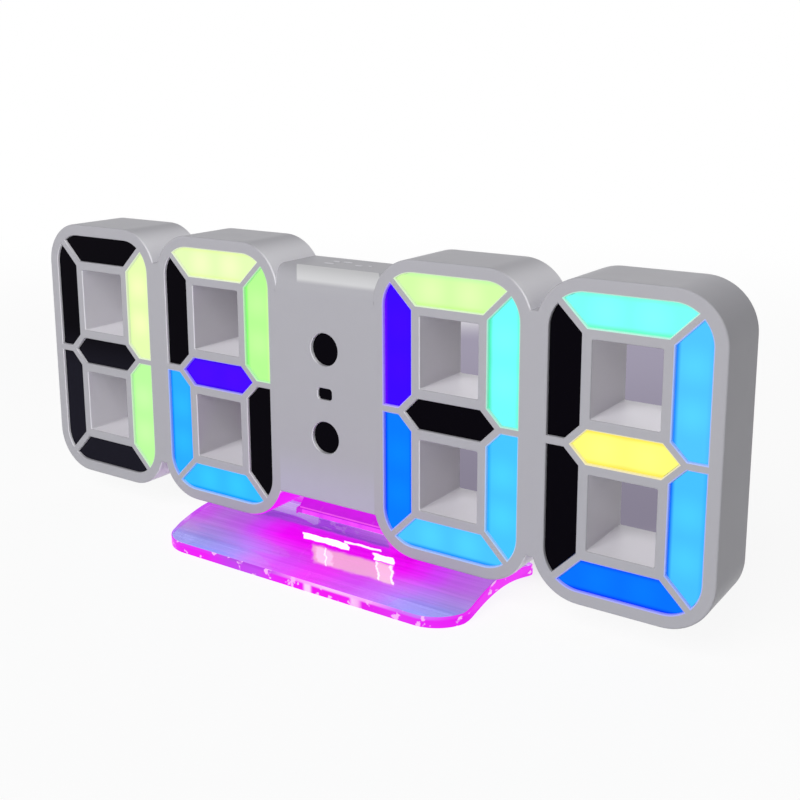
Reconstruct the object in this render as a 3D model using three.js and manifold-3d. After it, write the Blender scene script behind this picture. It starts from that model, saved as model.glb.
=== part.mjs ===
// LED desk clock: four open digits in one white shell, on a clear arched stand.
// Lengths are in millimetres. X runs across the display, Y from front to back, Z up.
// The origin is on the table, under the middle of the stand.
import * as THREE from 'three';
import { mergeVertices } from 'three/addons/utils/BufferGeometryUtils.js';
import Module from 'manifold-3d';

const wasm = await Module();
wasm.setup();

// Outside of the shell
const digitWidth = 45.5;
const digitHeight = 78.4;
const digitCorner = 12.5;
const digitSeam = 0.8;
const digitLift = 8.6;
const bodyDepth = 20;
const bodySetback = 16.2;
const edgeRound = 0.7;
const webInset = 8.9;
const panelWidth = 31.4;
const panelRise = 9.4;
const panelDrop = 5.5;
const panelTopRound = 6.3;

// Openings in the face
const faceSide = 3.35;
const faceEnd = 3.4;
const sideSegmentWidth = 8.4;
const endSegmentHeight = 7.9;
const middleSegmentHeight = 8;
const ribWidth = 2;
const ribShift = 0.55;
const windowFrame = 2.6;
const windowCorner = 0.8;
const colonRadius = 4.45;
const colonSpacing = 24.2;
const colonRise = 0.6;
const sensorWidth = 4.7;
const sensorHeight = 3.2;
const sensorCorner = 1;

// Walls, gaps and screws
const faceThickness = 2;
const wall = 1.8;
const tubeWall = 1.2;
const gap = 0.3;
const overrun = 1;
const coverThickness = 2;
const coverLedge = 0.8;
const passageInset = 8.3;
const bossRadius = 2.2;
const screwRadius = 0.8;
const screwHeadRadius = 1.7;
const screwHeadHeight = 1;
const screwSlotWidth = 0.6;
const screwSlotDepth = 0.5;
const coverScrewLength = 6;
const coverScrewMargin = 0.4;
const webScrewInset = 4.3;
const panelScrewInset = 4.3;
const boardScrewLength = 5.2;
const boardScrewInset = 3.2;
const boardScrewShares = [0.19, 0.725];
const postRadius = 1.5;

// Lenses, baffles and board behind the face
const lensSetback = 1;
const lensBase = 1.2;
const lensFit = 0.25;
const flangeReach = 0.9;
const flangeThickness = 1;
const baffleDepth = 6;
const baffleWallExtra = 0.35;
const boardThickness = 1.6;
const boardMargin = 1;
const ledWidth = 2.8;
const ledLength = 3.5;
const ledThickness = 1;
const ledSpacing = 10;
const colonTubeWall = 1.2;
const bridgeThickness = 1.5;
const receiverWidth = 5.6;
const receiverHeight = 5.2;
const receiverDepth = 2.4;
const receiverDome = 1.7;

// Buttons on the back and their switches
const buttonSpacing = 8;
const buttonLiftShare = 0.8425;
const buttonRadius = 2.6;
const buttonFlangeReach = 0.9;
const buttonFlangeThickness = 0.9;
const buttonProud = 0.9;
const buttonTravel = 0.6;
const switchSize = 6;
const switchHeight = 2.9;
const switchFloor = 0.8;
const plungerRadius = 1.7;
const plungerProud = 0.7;

// Coin cell, its holder and its twist-off door
const cellDrop = 17;
const cellRadius = 10;
const cellThickness = 3.2;
const cellStep = 0.9;
const cellStepHeight = 0.4;
const holderFloor = 0.6;
const holderWall = 1.2;
const holderLip = 0.4;
const holderVentRadius = 4;
const contactWidth = 4;
const contactReach = 6;
const contactThickness = 0.3;
const doorRadius = 12;
const doorNeckInset = 0.8;
const doorLugReach = 1.4;
const doorLugThickness = 0.5;
const doorLugTurn = 30;
const doorOpenTurn = 60;
const doorSlotLength = 15;
const doorSlotWidth = 2;
const doorSlotDepth = 1.1;

// Power socket, buzzer, chip and crystal
const socketRise = 8.5;
const socketWidth = 9;
const socketHeight = 3.4;
const socketWall = 0.3;
const socketCorner = 1.2;
const socketFloor = 0.8;
const socketSetback = 0.4;
const insertDepth = 1.5;
const insertTongueWidth = 6;
const insertTongueHeight = 0.7;
const insertTongueLength = 4;
const buzzerX = -8;
const buzzerLiftShare = 0.35;
const buzzerRadius = 4.5;
const buzzerHeight = 4.2;
const buzzerHoleRadius = 0.8;
const soundHoleRadius = 0.7;
const soundHoleRing = 2.6;
const soundHoleCount = 6;
const chipX = 7.6;
const chipWidth = 5.4;
const chipLength = 8.4;
const chipThickness = 1.3;
const chipLegCount = 6;
const chipLegWidth = 0.5;
const chipLegReach = 0.9;
const chipLegThickness = 0.3;
const crystalX = -7.5;
const crystalRise = 3.5;
const crystalRadius = 1;
const crystalLength = 6;

// Keyholes for hanging the clock on a wall
const keyholeRadius = 3.6;
const keyholeSlotRadius = 1.9;
const keyholeTravel = 3;
const keyholeDrop = 7.6;

// Dock below the panel and the night light in it
const dockWidth = 34;
const dockWall = 1.5;
const dockLift = 9.1;
const dockSetback = 8.1;
const dockLip = 0.8;
const dockFlareRise = 2.7;
const dockFlareReach = 2.6;
const dockLean = 1.6;
const dockLedge = 1.2;
const lightBarThickness = 1.1;
const lightBarDepth = 4.6;
const nightBoardDepth = 4.1;
const nightBoardThickness = 1;
const nightLedCount = 4;
const nightLedSpacing = 6.4;
const headerWidth = 7.6;
const headerHeight = 2.5;
const headerDepth = 2.5;
const headerPinCount = 3;
const headerPinSpacing = 2.5;
const headerPinWidth = 0.6;

// Clear stand
const standWidth = 99;
const standDepth = 43;
const standCorner = 11;
const standThickness = 3;
const crestThickness = 3.4;
const archRise = 2.7;
const archSpan = 34;
const archOffset = 3;
const archFullness = 1.25;
const neckShoulder = 2.5;
const tongueWidth = 24;
const tongueThickness = 2.8;
const tongueSetback = 14.6;
const tongueReach = 4.1;

// Steps on round forms
const cornerSteps = 3;
const fieldSteps = 3;
const innerSteps = 2;
const windowSteps = 1;
const bevelSteps = 1;
const doorSides = 20;
const roundSides = 16;
const smallSides = 8;
const screwSides = 6;
const archSteps = 16;

// Places that follow from the sizes above
const frontY = bodySetback - standDepth / 2;
const backY = frontY + bodyDepth;
const faceBackY = frontY + faceThickness;
const lensY = faceBackY + gap;
const baffleY = lensY + lensBase + gap;
const boardY = baffleY + baffleDepth + gap;
const boardBackY = boardY + boardThickness;
const mountY = boardBackY + gap;
const coverY = backY - coverThickness;
const ledgeY = coverY - gap;
const coverInset = wall - coverLedge;
const digitMiddle = digitLift + digitHeight / 2;
const digitTop = digitLift + digitHeight;
const webHeight = digitHeight - webInset * 2;
const passageHeight = webHeight - passageInset * 2;
const panelLift = digitLift + panelRise;
const panelTop = digitTop - panelDrop;
const panelHeight = panelTop - panelLift;
const panelSide = panelWidth / 2;
const innerDigitX = panelSide + digitWidth / 2;
const digitPitch = digitWidth + digitSeam;
const outerDigitX = innerDigitX + digitPitch;
const webX = innerDigitX + digitPitch / 2;
const dockFloorZ = dockLift + lightBarThickness + gap;
const dockLipY = frontY + dockSetback;
const tongueY = frontY + tongueSetback;
const tongueTop = dockLift + tongueReach;
const nightBoardZ = tongueTop + gap + ledThickness;
const sides = [-1, 1];

// The face of a digit: segments round two framed windows
const fieldWidth = digitWidth - faceSide * 2;
const fieldHeight = digitHeight - faceEnd * 2;
const fieldCorner = digitCorner - faceEnd;
const windowWidth = fieldWidth - (sideSegmentWidth + windowFrame) * 2;
const windowHeight = (fieldHeight - middleSegmentHeight) / 2 - endSegmentHeight - windowFrame * 2;
const windowSpacing = windowHeight + middleSegmentHeight + windowFrame * 2;
const frameSide = windowWidth / 2 + windowFrame;
const frameTop = fieldHeight / 2 - endSegmentHeight;
const frameBottom = middleSegmentHeight / 2;
const ribReach = frameSide + frameBottom - ribShift;

// Heights of what sits in the panel, from its top down
const buttonLift = panelLift + panelHeight * buttonLiftShare;
const cellLift = buttonLift - cellDrop;
const colonMiddleLift = digitMiddle + colonRise;
const socketLift = panelLift + socketRise;
const buzzerLift = socketLift + (cellLift - socketLift) * buzzerLiftShare;
const crystalLift = panelLift + crystalRise;

const digits = [
  { name: 'hour_tens', x: -outerDigitX },
  { name: 'hour_units', x: -innerDigitX },
  { name: 'minute_tens', x: innerDigitX },
  { name: 'minute_units', x: outerDigitX },
];
const buttons = [
  { name: 'set', x: -buttonSpacing },
  { name: 'down', x: 0 },
  { name: 'up', x: buttonSpacing },
];
const colons = [
  { name: 'lower', z: colonMiddleLift - colonSpacing / 2 },
  { name: 'upper', z: colonMiddleLift + colonSpacing / 2 },
];

// Screw places: one at each end, two in each web and two on each side of the panel
const endScrewX = outerDigitX + digitWidth / 2 - coverInset - gap - coverScrewMargin - screwHeadRadius - gap;
const panelScrewX = panelSide - bossRadius - gap;
const boardScrewX = panelSide - boardScrewInset;
const endScrews = sides.map((side) => ({ x: side * endScrewX, z: digitMiddle }));
const webScrews = sides.flatMap((side) => sides.map((end) => (
  { x: side * webX, z: digitMiddle + end * (webHeight / 2 - webScrewInset) }
)));
const panelScrews = sides.flatMap((side) => [
  { x: side * panelScrewX, z: panelLift + panelScrewInset },
  { x: side * panelScrewX, z: panelTop - panelScrewInset },
]);
const coverScrews = [...endScrews, ...webScrews, ...panelScrews];
const boardScrews = sides.flatMap((side) => boardScrewShares.map((share) => (
  { x: side * boardScrewX, z: panelLift + panelHeight * share }
)));

// Materials
const finish = (color, roughness, metalness = 0, opacity = 1) => new THREE.MeshStandardMaterial({
  color,
  roughness,
  metalness,
  opacity,
  transparent: opacity < 1,
});
const whitePlastic = finish(0xe2e1e6, 0.4);
const innerPlastic = finish(0xf2f2f2, 0.6);
const smokedPlastic = finish(0x0b0b0d, 0.12);
const greenBoard = finish(0x1f5a36, 0.5);
const blackPlastic = finish(0x151517, 0.5);
const steel = finish(0xb9bcc0, 0.3, 1);
const clearPlastic = finish(0xf4eefb, 0.05, 0, 0.35);
const frostedPlastic = finish(0xff8fe6, 0.4, 0, 0.8);

// Solids made from three.js geometry, and the way back to a mesh
function solidOf(geometry) {
  geometry.deleteAttribute('normal');
  geometry.deleteAttribute('uv');
  const merged = mergeVertices(geometry);
  return new wasm.Manifold(new wasm.Mesh({
    numProp: 3,
    vertProperties: new Float32Array(merged.attributes.position.array),
    triVerts: new Uint32Array(merged.index.array),
  }));
}

function meshOf(name, solid, material) {
  const { vertProperties, triVerts } = solid.getMesh();
  const geometry = new THREE.BufferGeometry();
  geometry.setAttribute('position', new THREE.BufferAttribute(new Float32Array(vertProperties), 3));
  geometry.setIndex(new THREE.BufferAttribute(new Uint32Array(triVerts), 1));
  geometry.computeVertexNormals();
  const mesh = new THREE.Mesh(geometry, material);
  mesh.name = name;
  return mesh;
}

const join = (solids) => solids.reduce((all, solid) => all.add(solid));
const cut = (solid, tools) => tools.reduce((left, tool) => left.subtract(tool), solid);

// Prisms: an outline in X and Z runs back along Y, one in Y and Z runs along X
function prismY(outline, y0, y1, steps = innerSteps, bevel = 0) {
  const geometry = new THREE.ExtrudeGeometry(outline, {
    depth: y1 - y0 - bevel - bevel,
    curveSegments: steps,
    bevelEnabled: bevel > 0,
    bevelThickness: bevel,
    bevelSize: bevel,
    bevelOffset: -bevel,
    bevelSegments: bevelSteps,
  });
  geometry.rotateX(Math.PI / 2);
  geometry.translate(0, y1 - bevel, 0);
  return solidOf(geometry);
}

function prismX(outline, reach, steps = innerSteps) {
  const geometry = new THREE.ExtrudeGeometry(outline, {
    depth: reach + reach,
    curveSegments: steps,
    bevelEnabled: false,
  });
  geometry.applyMatrix4(new THREE.Matrix4().makeBasis(
    new THREE.Vector3(0, 1, 0),
    new THREE.Vector3(0, 0, 1),
    new THREE.Vector3(1, 0, 0),
  ));
  geometry.translate(-reach, 0, 0);
  return solidOf(geometry);
}

function block([x0, x1], [y0, y1], [z0, z1]) {
  const geometry = new THREE.BoxGeometry(x1 - x0, y1 - y0, z1 - z0);
  geometry.translate((x0 + x1) / 2, (y0 + y1) / 2, (z0 + z1) / 2);
  return solidOf(geometry);
}

const around = (middle, size) => [middle - size / 2, middle + size / 2];

function rod(x, z, radius, y0, y1, count = smallSides) {
  const geometry = new THREE.CylinderGeometry(radius, radius, y1 - y0, count);
  geometry.translate(x, (y0 + y1) / 2, z);
  return solidOf(geometry);
}

const rods = (places, radius, y0, y1, count = smallSides) => (
  places.map(({ x, z }) => rod(x, z, radius, y0, y1, count))
);

// A bar in the face's plane that runs past both its ends by half its width
function bar([x0, z0], [x1, z1], width, y0, y1) {
  const geometry = new THREE.BoxGeometry(Math.hypot(x1 - x0, z1 - z0) + width, y1 - y0, width);
  geometry.rotateY(-Math.atan2(z1 - z0, x1 - x0));
  geometry.translate((x0 + x1) / 2, (y0 + y1) / 2, (z0 + z1) / 2);
  return solidOf(geometry);
}

// Outlines
function roundedRectangle([x0, x1], [z0, z1], radius) {
  const outline = new THREE.Shape();
  const quarter = Math.PI / 2;
  outline.moveTo(x0 + radius, z0);
  outline.absarc(x1 - radius, z0 + radius, radius, -quarter, 0);
  outline.absarc(x1 - radius, z1 - radius, radius, 0, quarter);
  outline.absarc(x0 + radius, z1 - radius, radius, quarter, Math.PI);
  outline.absarc(x0 + radius, z0 + radius, radius, Math.PI, Math.PI + quarter);
  return outline;
}

const polygon = (points) => new THREE.Shape(points.map(([a, b]) => new THREE.Vector2(a, b)));

// One digit's outline, drawn in by an inset
const digitOutline = (x, inset) => roundedRectangle(
  around(x, digitWidth - inset - inset),
  around(digitMiddle, digitHeight - inset - inset),
  digitCorner - inset,
);

// The panel's section in Y and Z, with its rounded top front edge
function panelSection(inset, y1) {
  const y0 = frontY + inset;
  const bottom = panelLift + inset;
  const top = panelTop - inset;
  const radius = panelTopRound - inset;
  const outline = polygon([[y0, bottom], [y1, bottom], [y1, top]]);
  outline.lineTo(y0 + radius, top);
  outline.absarc(y0 + radius, top - radius, radius, Math.PI / 2, Math.PI);
  return outline;
}

// The dock's section in Y and Z: it leans forward and flares to a lip
function dockSection(inset, bottom, y1) {
  const lipY = dockLipY + inset;
  const flareY = lipY + dockFlareReach;
  const neckY = flareY + dockLean;
  const lipZ = dockLift + dockLip;
  const top = panelLift + wall;
  return polygon([
    [lipY, Math.min(bottom, lipZ)],
    [y1, Math.min(bottom, lipZ)],
    [y1, top],
    [neckY, top],
    [neckY, panelLift],
    [flareY, lipZ + dockFlareRise],
    [lipY, lipZ],
  ]);
}

// The two windows of one digit, and the plain sleeves round them
const windowsOf = (x, y0, y1) => sides.map((side) => prismY(roundedRectangle(
  around(x, windowWidth),
  around(digitMiddle + side * windowSpacing / 2, windowHeight),
  windowCorner,
), y0, y1, windowSteps));

const sleevesOf = (x, margin, y0, y1) => sides.map((side) => block(
  around(x, windowWidth + margin + margin),
  [y0, y1],
  around(digitMiddle + side * windowSpacing / 2, windowHeight + margin + margin),
));

const allSleeves = (margin, y0, y1) => digits.flatMap(({ x }) => sleevesOf(x, margin, y0, y1));

// The seven segments of a digit: its field less the window frames and the mitred ribs
function segmentsOf(x, inset, y0, y1) {
  const fieldSide = fieldWidth / 2;
  const width = ribWidth + inset + inset;
  const through = [y0 - overrun, y1 + overrun];
  const field = prismY(roundedRectangle(
    around(x, fieldWidth - inset - inset),
    around(digitMiddle, fieldHeight - inset - inset),
    fieldCorner - inset,
  ), y0, y1, fieldSteps);
  const frames = sides.map((end) => block(
    around(x, (frameSide + inset) * 2),
    through,
    around(digitMiddle + end * (frameTop + frameBottom) / 2, frameTop - frameBottom + inset + inset),
  ));
  const ribs = sides.flatMap((side) => {
    const fork = [x + side * ribReach, digitMiddle];
    return [
      bar(fork, [x + side * fieldSide, digitMiddle], width, ...through),
      ...sides.flatMap((end) => [
        bar(fork, [x + side * (ribReach - frameBottom), digitMiddle + end * frameBottom], width, ...through),
        bar(
          [x + side * frameSide, digitMiddle + end * frameTop],
          [x + side * (frameSide + fieldCorner), digitMiddle + end * (frameTop + fieldCorner)],
          width,
          ...through,
        ),
      ]),
    ];
  });
  return cut(field, [...frames, ...ribs]);
}

// The rooms of the digits and the panel with the passages between them
function rooms(inset, passage, y0, y1) {
  const seamReach = digitSeam + (inset + overrun) * 2;
  const sideReach = inset + overrun + overrun;
  const passageZ = around(digitMiddle, passage);
  const panelRoom = prismX(panelSection(inset, y1), panelSide);
  return join([
    ...digits.map(({ x }) => prismY(digitOutline(x, inset), y0, y1)),
    ...sides.map((side) => block(around(side * webX, seamReach), [y0, y1], passageZ)),
    ...sides.map((side) => block(around(side * (panelSide + inset / 2), sideReach), [y0, y1], passageZ)),
    panelRoom.intersect(block(around(0, panelWidth), [y0, y1], [panelLift, panelTop])),
  ]);
}

// The opening at the back of the dock, below the panel's room
const dockTail = (margin, y0, y1) => block(
  around(0, dockWidth - (dockWall - coverLedge + margin) * 2),
  [y0, y1],
  [dockFloorZ + margin, panelLift + wall + overrun],
);

// The whole outside: rounded digit frames, webs, panel and dock
function shellOutside() {
  const spareY = backY + edgeRound + overrun;
  const frames = digits.map(({ x }) => prismY(digitOutline(x, 0), frontY, spareY, cornerSteps, edgeRound));
  const webs = sides.map((side) => block(
    around(side * webX, digitSeam + wall + wall),
    [frontY, spareY],
    around(digitMiddle, webHeight),
  ));
  const spare = join([
    ...frames,
    ...webs,
    prismX(panelSection(0, spareY), panelSide + wall + edgeRound, cornerSteps),
    prismX(dockSection(0, dockLift, spareY), dockWidth / 2),
  ]);
  return spare.subtract(block(
    around(0, (outerDigitX + digitWidth) * 2),
    [backY, spareY + overrun],
    [0, panelTop + digitHeight],
  ));
}

// A lug behind the board at each end of the shell takes the end screw
function endLugs() {
  const wallX = outerDigitX + digitWidth / 2 - wall / 2;
  return endScrews.flatMap(({ x, z }) => [
    rod(x, z, bossRadius, mountY, ledgeY),
    block(
      around(Math.sign(x) * (wallX + endScrewX) / 2, wallX - endScrewX),
      [mountY, ledgeY],
      around(z, bossRadius * 2),
    ),
  ]);
}

function frontShell() {
  const hollow = join([
    rooms(wall, passageHeight, faceBackY, ledgeY),
    rooms(coverInset, webHeight - coverInset * 2, ledgeY, backY + overrun),
    prismX(dockSection(dockWall, dockFloorZ, ledgeY + overrun), dockWidth / 2 - dockWall),
    block(
      around(0, dockWidth - dockWall * 2),
      [dockLipY + dockWall + dockFlareReach + dockLean, ledgeY + overrun],
      [panelLift - overrun, panelLift + wall + overrun],
    ),
    dockTail(0, ledgeY, backY + overrun),
  ]);
  const floor = block(
    around(0, dockWidth - dockWall),
    [dockLipY + dockWall, backY],
    [dockLift, dockFloorZ],
  );
  const tubes = allSleeves(tubeWall, faceBackY - gap, backY);
  const bosses = [
    ...rods([...webScrews, ...panelScrews], bossRadius, faceBackY - gap, ledgeY),
    ...rods(boardScrews, bossRadius, faceBackY - gap, boardY - gap),
    ...endLugs(),
  ];
  const ledges = sides.map((side) => block(
    around(side * (dockWidth / 2 - dockWall - dockLedge / 2 + gap / 2), dockLedge + gap),
    [ledgeY - gap - nightBoardDepth, ledgeY],
    [nightBoardZ - gap - dockLedge, nightBoardZ - gap],
  ));
  const pilotRadius = screwRadius + gap;
  const openings = [
    ...digits.flatMap(({ x }) => windowsOf(x, frontY - overrun, backY + overrun)),
    ...digits.map(({ x }) => segmentsOf(x, 0, frontY - overrun, faceBackY + gap)),
    ...colons.map(({ z }) => rod(0, z, colonRadius, frontY - overrun, faceBackY + gap, roundSides)),
    prismY(roundedRectangle(
      around(0, sensorWidth),
      around(colonMiddleLift, sensorHeight),
      sensorCorner,
    ), frontY - overrun, faceBackY + gap),
    ...rods(coverScrews, pilotRadius, ledgeY - coverScrewLength, ledgeY + overrun, screwSides),
    ...rods(boardScrews, pilotRadius, boardY - boardScrewLength, boardY + overrun, screwSides),
    block(
      around(0, dockWidth - dockWall * 2),
      [dockLipY - overrun, dockLipY + lightBarDepth + gap],
      [dockLift - overrun, dockFloorZ],
    ),
    block(
      around(0, tongueWidth + gap + gap),
      [tongueY - gap, tongueY + tongueThickness + gap],
      [dockLift - overrun, dockFloorZ + overrun],
    ),
  ];
  const walls = join([shellOutside().subtract(hollow), floor, ...tubes, ...bosses, ...ledges]);
  return cut(walls, openings);
}

// The rear cover is a plate inside the shell's rim, with posts that hold the board
function rearCover() {
  const plate = join([
    rooms(coverInset + gap, webHeight - (coverInset + gap) * 2, coverY, backY),
    dockTail(gap, coverY, backY),
  ]);
  const posts = digits.flatMap(({ x }) => sides.map((side) => (
    rod(x + side * ribReach, digitMiddle, postRadius, mountY, coverY + gap, screwSides)
  )));
  const through = [coverY - overrun, backY + overrun];
  const doorHole = [
    rod(0, cellLift, doorRadius + gap, ...through, doorSides),
    ...doorLugs(gap, doorOpenTurn, ...through),
  ];
  const soundHoles = Array.from({ length: soundHoleCount }, (_, index) => {
    const angle = index * Math.PI * 2 / soundHoleCount;
    return rod(
      buzzerX + Math.cos(angle) * soundHoleRing,
      buzzerLift + Math.sin(angle) * soundHoleRing,
      soundHoleRadius,
      ...through,
      screwSides,
    );
  });
  const keyholes = sides.flatMap((side) => {
    const x = side * outerDigitX;
    const z = digitTop - keyholeDrop;
    return [
      rod(x, z, keyholeRadius, ...through, roundSides),
      rod(x, z + keyholeTravel, keyholeSlotRadius, ...through),
      block(around(x, keyholeSlotRadius * 2), through, [z, z + keyholeTravel]),
    ];
  });
  const screwPocketY = backY - screwHeadHeight - gap;
  return cut(join([plate, ...posts]), [
    ...allSleeves(tubeWall + gap, ...through),
    ...rods(coverScrews, screwRadius + gap, ...through, screwSides),
    ...rods(coverScrews, screwHeadRadius + gap, screwPocketY, backY + overrun),
    ...buttons.map(({ x }) => rod(x, buttonLift, buttonRadius + gap, ...through, roundSides)),
    socketPrism(gap, ...through),
    ...doorHole,
    ...soundHoles,
    ...keyholes,
  ]);
}

// A smoked lens fills the seven openings of one digit and has a flat base behind the face
const digitLens = (x) => cut(
  prismY(digitOutline(x, wall + gap), lensY, lensY + lensBase),
  sleevesOf(x, tubeWall + gap, lensY - overrun, lensY + lensBase + overrun),
).add(segmentsOf(x, lensFit, frontY + lensSetback, lensY + lensBase));

// A baffle keeps the light of each segment in its own cell
const lightBaffle = (x) => cut(
  prismY(digitOutline(x, wall + gap), baffleY, baffleY + baffleDepth),
  [
    ...sleevesOf(x, tubeWall + gap, baffleY - overrun, baffleY + baffleDepth + overrun),
    segmentsOf(x, baffleWallExtra, baffleY - overrun, baffleY + baffleDepth + overrun),
  ],
);

// Two LEDs behind each segment of a digit
function ledPlaces(x) {
  const sideX = (fieldWidth / 2 + frameSide) / 2;
  const endZ = (fieldHeight / 2 + frameTop) / 2;
  const across = [-endZ, 0, endZ].flatMap((z) => sides.map((side) => ({ x: x + side * ledSpacing / 2, z })));
  const upright = sides.flatMap((side) => sides.flatMap((end) => sides.map((step) => ({
    x: x + side * sideX,
    z: (end * windowSpacing + step * ledSpacing) / 2,
  }))));
  return [...across, ...upright].map((place) => ({ x: place.x, z: digitMiddle + place.z }));
}

function mainBoard() {
  const plate = rooms(wall + boardMargin, passageHeight - boardMargin * 2, boardY, boardBackY);
  const leds = [
    ...digits.flatMap(({ x }) => ledPlaces(x)),
    ...colons.map(({ z }) => ({ x: 0, z })),
  ];
  const through = [boardY - overrun, boardBackY + overrun];
  const notch = (panelScrewInset + bossRadius + gap) * 2;
  const corners = panelScrews.map(({ x, z }) => block(
    around(Math.sign(x) * panelSide, (panelSide - panelScrewX + bossRadius + gap) * 2),
    through,
    around(z < digitMiddle ? panelLift : panelTop, notch),
  ));
  const bare = cut(plate, [
    ...allSleeves(tubeWall + gap + gap, ...through),
    ...corners,
    ...rods(boardScrews, screwRadius + gap, ...through, screwSides),
  ]);
  return join([bare, ...leds.map(({ x, z }) => block(
    around(x, ledWidth),
    [boardY - ledThickness, boardY + gap],
    around(z, ledLength),
  ))]);
}

// Colon lenses, their light tubes and the remote control's receiver
const colonLens = (z) => join([
  rod(0, z, colonRadius - lensFit, frontY + lensSetback, lensY + flangeThickness, roundSides),
  rod(0, z, colonRadius + flangeReach, lensY, lensY + flangeThickness, roundSides),
]);

function colonBaffle() {
  const y0 = lensY + flangeThickness + gap;
  const y1 = boardY - gap;
  const outer = colonRadius - lensFit + colonTubeWall;
  const bridgeWidth = receiverWidth + (gap + colonTubeWall) * 2;
  return cut(
    join([
      ...colons.map(({ z }) => rod(0, z, outer, y0, y1, roundSides)),
      block(around(0, bridgeWidth), [y1 - bridgeThickness, y1], around(colonMiddleLift, colonSpacing)),
    ]),
    [
      ...colons.map(({ z }) => rod(0, z, colonRadius - lensFit, y0 - overrun, y1 + overrun, roundSides)),
      block(
        around(0, receiverWidth + gap + gap),
        [y0, y1 + overrun],
        around(colonMiddleLift, receiverHeight + gap + gap),
      ),
    ],
  );
}

const sensorWindow = () => join([
  prismY(roundedRectangle(
    around(0, sensorWidth - lensFit * 2),
    around(colonMiddleLift, sensorHeight - lensFit * 2),
    sensorCorner - lensFit,
  ), frontY + gap, lensY + flangeThickness),
  prismY(roundedRectangle(
    around(0, sensorWidth + flangeReach * 2),
    around(colonMiddleLift, sensorHeight + flangeReach * 2),
    sensorCorner,
  ), lensY, lensY + flangeThickness),
]);

function irReceiver() {
  const y1 = boardY - gap;
  const y0 = y1 - receiverDepth;
  const dome = new THREE.SphereGeometry(receiverDome, smallSides, smallSides / 2);
  dome.translate(0, y0, colonMiddleLift);
  return block(
    around(0, receiverWidth),
    [y0, y1],
    around(colonMiddleLift, receiverHeight),
  ).add(solidOf(dome));
}

// Buttons: a cap through the cover, a flange behind it and a stem down to the plunger
const plungerTop = mountY + switchHeight + plungerProud;

const button = (x) => join([
  rod(x, buttonLift, buttonRadius, ledgeY - buttonFlangeThickness, backY + buttonProud, roundSides),
  rod(x, buttonLift, buttonRadius + buttonFlangeReach, ledgeY - buttonFlangeThickness, ledgeY, roundSides),
  rod(x, buttonLift, plungerRadius, plungerTop + gap, ledgeY),
]);

const switchBody = (x) => block(
  around(x, switchSize),
  [mountY, mountY + switchHeight],
  around(buttonLift, switchSize),
).subtract(rod(x, buttonLift, plungerRadius + gap, mountY + switchFloor, mountY + switchHeight + overrun));

const switchPlunger = (x) => rod(
  x,
  buttonLift,
  plungerRadius,
  mountY + switchFloor + buttonTravel + gap,
  plungerTop,
);

// Coin cell, holder, contact and door
const cellY = mountY + holderFloor + gap;
const contactY = cellY + cellThickness + gap;
const holderRadius = cellRadius + gap + holderWall;

const coinCell = () => join([
  rod(0, cellLift, cellRadius - cellStep, cellY, cellY + cellThickness, roundSides),
  rod(0, cellLift, cellRadius, cellY + cellStepHeight, cellY + cellThickness, roundSides),
]);

const cellHolder = () => cut(
  rod(0, cellLift, holderRadius, mountY, cellY + cellThickness - holderLip, roundSides),
  [
    rod(0, cellLift, cellRadius + gap, mountY + holderFloor, contactY, roundSides),
    rod(0, cellLift, holderVentRadius, mountY - overrun, contactY, roundSides),
  ],
);

const cellContact = () => join([
  block(
    [-contactReach, holderRadius + gap + contactThickness],
    [contactY, contactY + contactThickness],
    around(cellLift, contactWidth),
  ),
  block(
    [holderRadius + gap, holderRadius + gap + contactThickness],
    [mountY, contactY + contactThickness],
    around(cellLift, contactWidth),
  ),
]);

// Two wedge-shaped lugs on the door, or the notches that let them through, at a turn about Y
function doorLugs(margin, turn, y0, y1) {
  const half = THREE.MathUtils.degToRad(doorLugTurn) / 2 + margin / doorRadius;
  const middle = THREE.MathUtils.degToRad(turn);
  const reach = doorRadius + doorLugReach + margin;
  return [0, Math.PI].map((flip) => {
    const start = flip - middle - half;
    const wedge = new THREE.Shape();
    wedge.moveTo(0, cellLift);
    wedge.lineTo(Math.cos(start) * reach, cellLift + Math.sin(start) * reach);
    wedge.absarc(0, cellLift, reach, start, start + half + half);
    return prismY(wedge, y0, y1);
  });
}

function cellDoor() {
  const neckRadius = doorRadius - doorNeckInset;
  const lugY = ledgeY - doorLugThickness;
  return join([
    rod(0, cellLift, doorRadius, coverY, backY, doorSides),
    rod(0, cellLift, neckRadius, lugY, coverY + gap, doorSides),
    ...doorLugs(0, 0, lugY, ledgeY),
  ]).subtract(block(
    around(0, doorSlotLength),
    [backY - doorSlotDepth, backY + overrun],
    around(cellLift, doorSlotWidth),
  ));
}

// Power socket: a steel sleeve round a plastic insert with a tongue
const socketPrism = (margin, y0, y1) => prismY(roundedRectangle(
  around(0, socketWidth + margin + margin),
  around(socketLift, socketHeight + margin + margin),
  socketCorner + margin,
), y0, y1);

const powerSocket = () => socketPrism(0, mountY, backY - socketSetback)
  .subtract(socketPrism(-socketWall, mountY + socketFloor, backY));

function socketInsert() {
  const y0 = mountY + socketFloor + gap;
  const y1 = y0 + insertDepth;
  return socketPrism(-socketWall - gap, y0, y1).add(block(
    around(0, insertTongueWidth),
    [y0, y1 + insertTongueLength],
    around(socketLift, insertTongueHeight),
  ));
}

const buzzer = () => rod(buzzerX, buzzerLift, buzzerRadius, mountY, mountY + buzzerHeight, roundSides)
  .subtract(rod(buzzerX, buzzerLift, buzzerHoleRadius, mountY + buzzerHeight / 2, backY));

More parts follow.
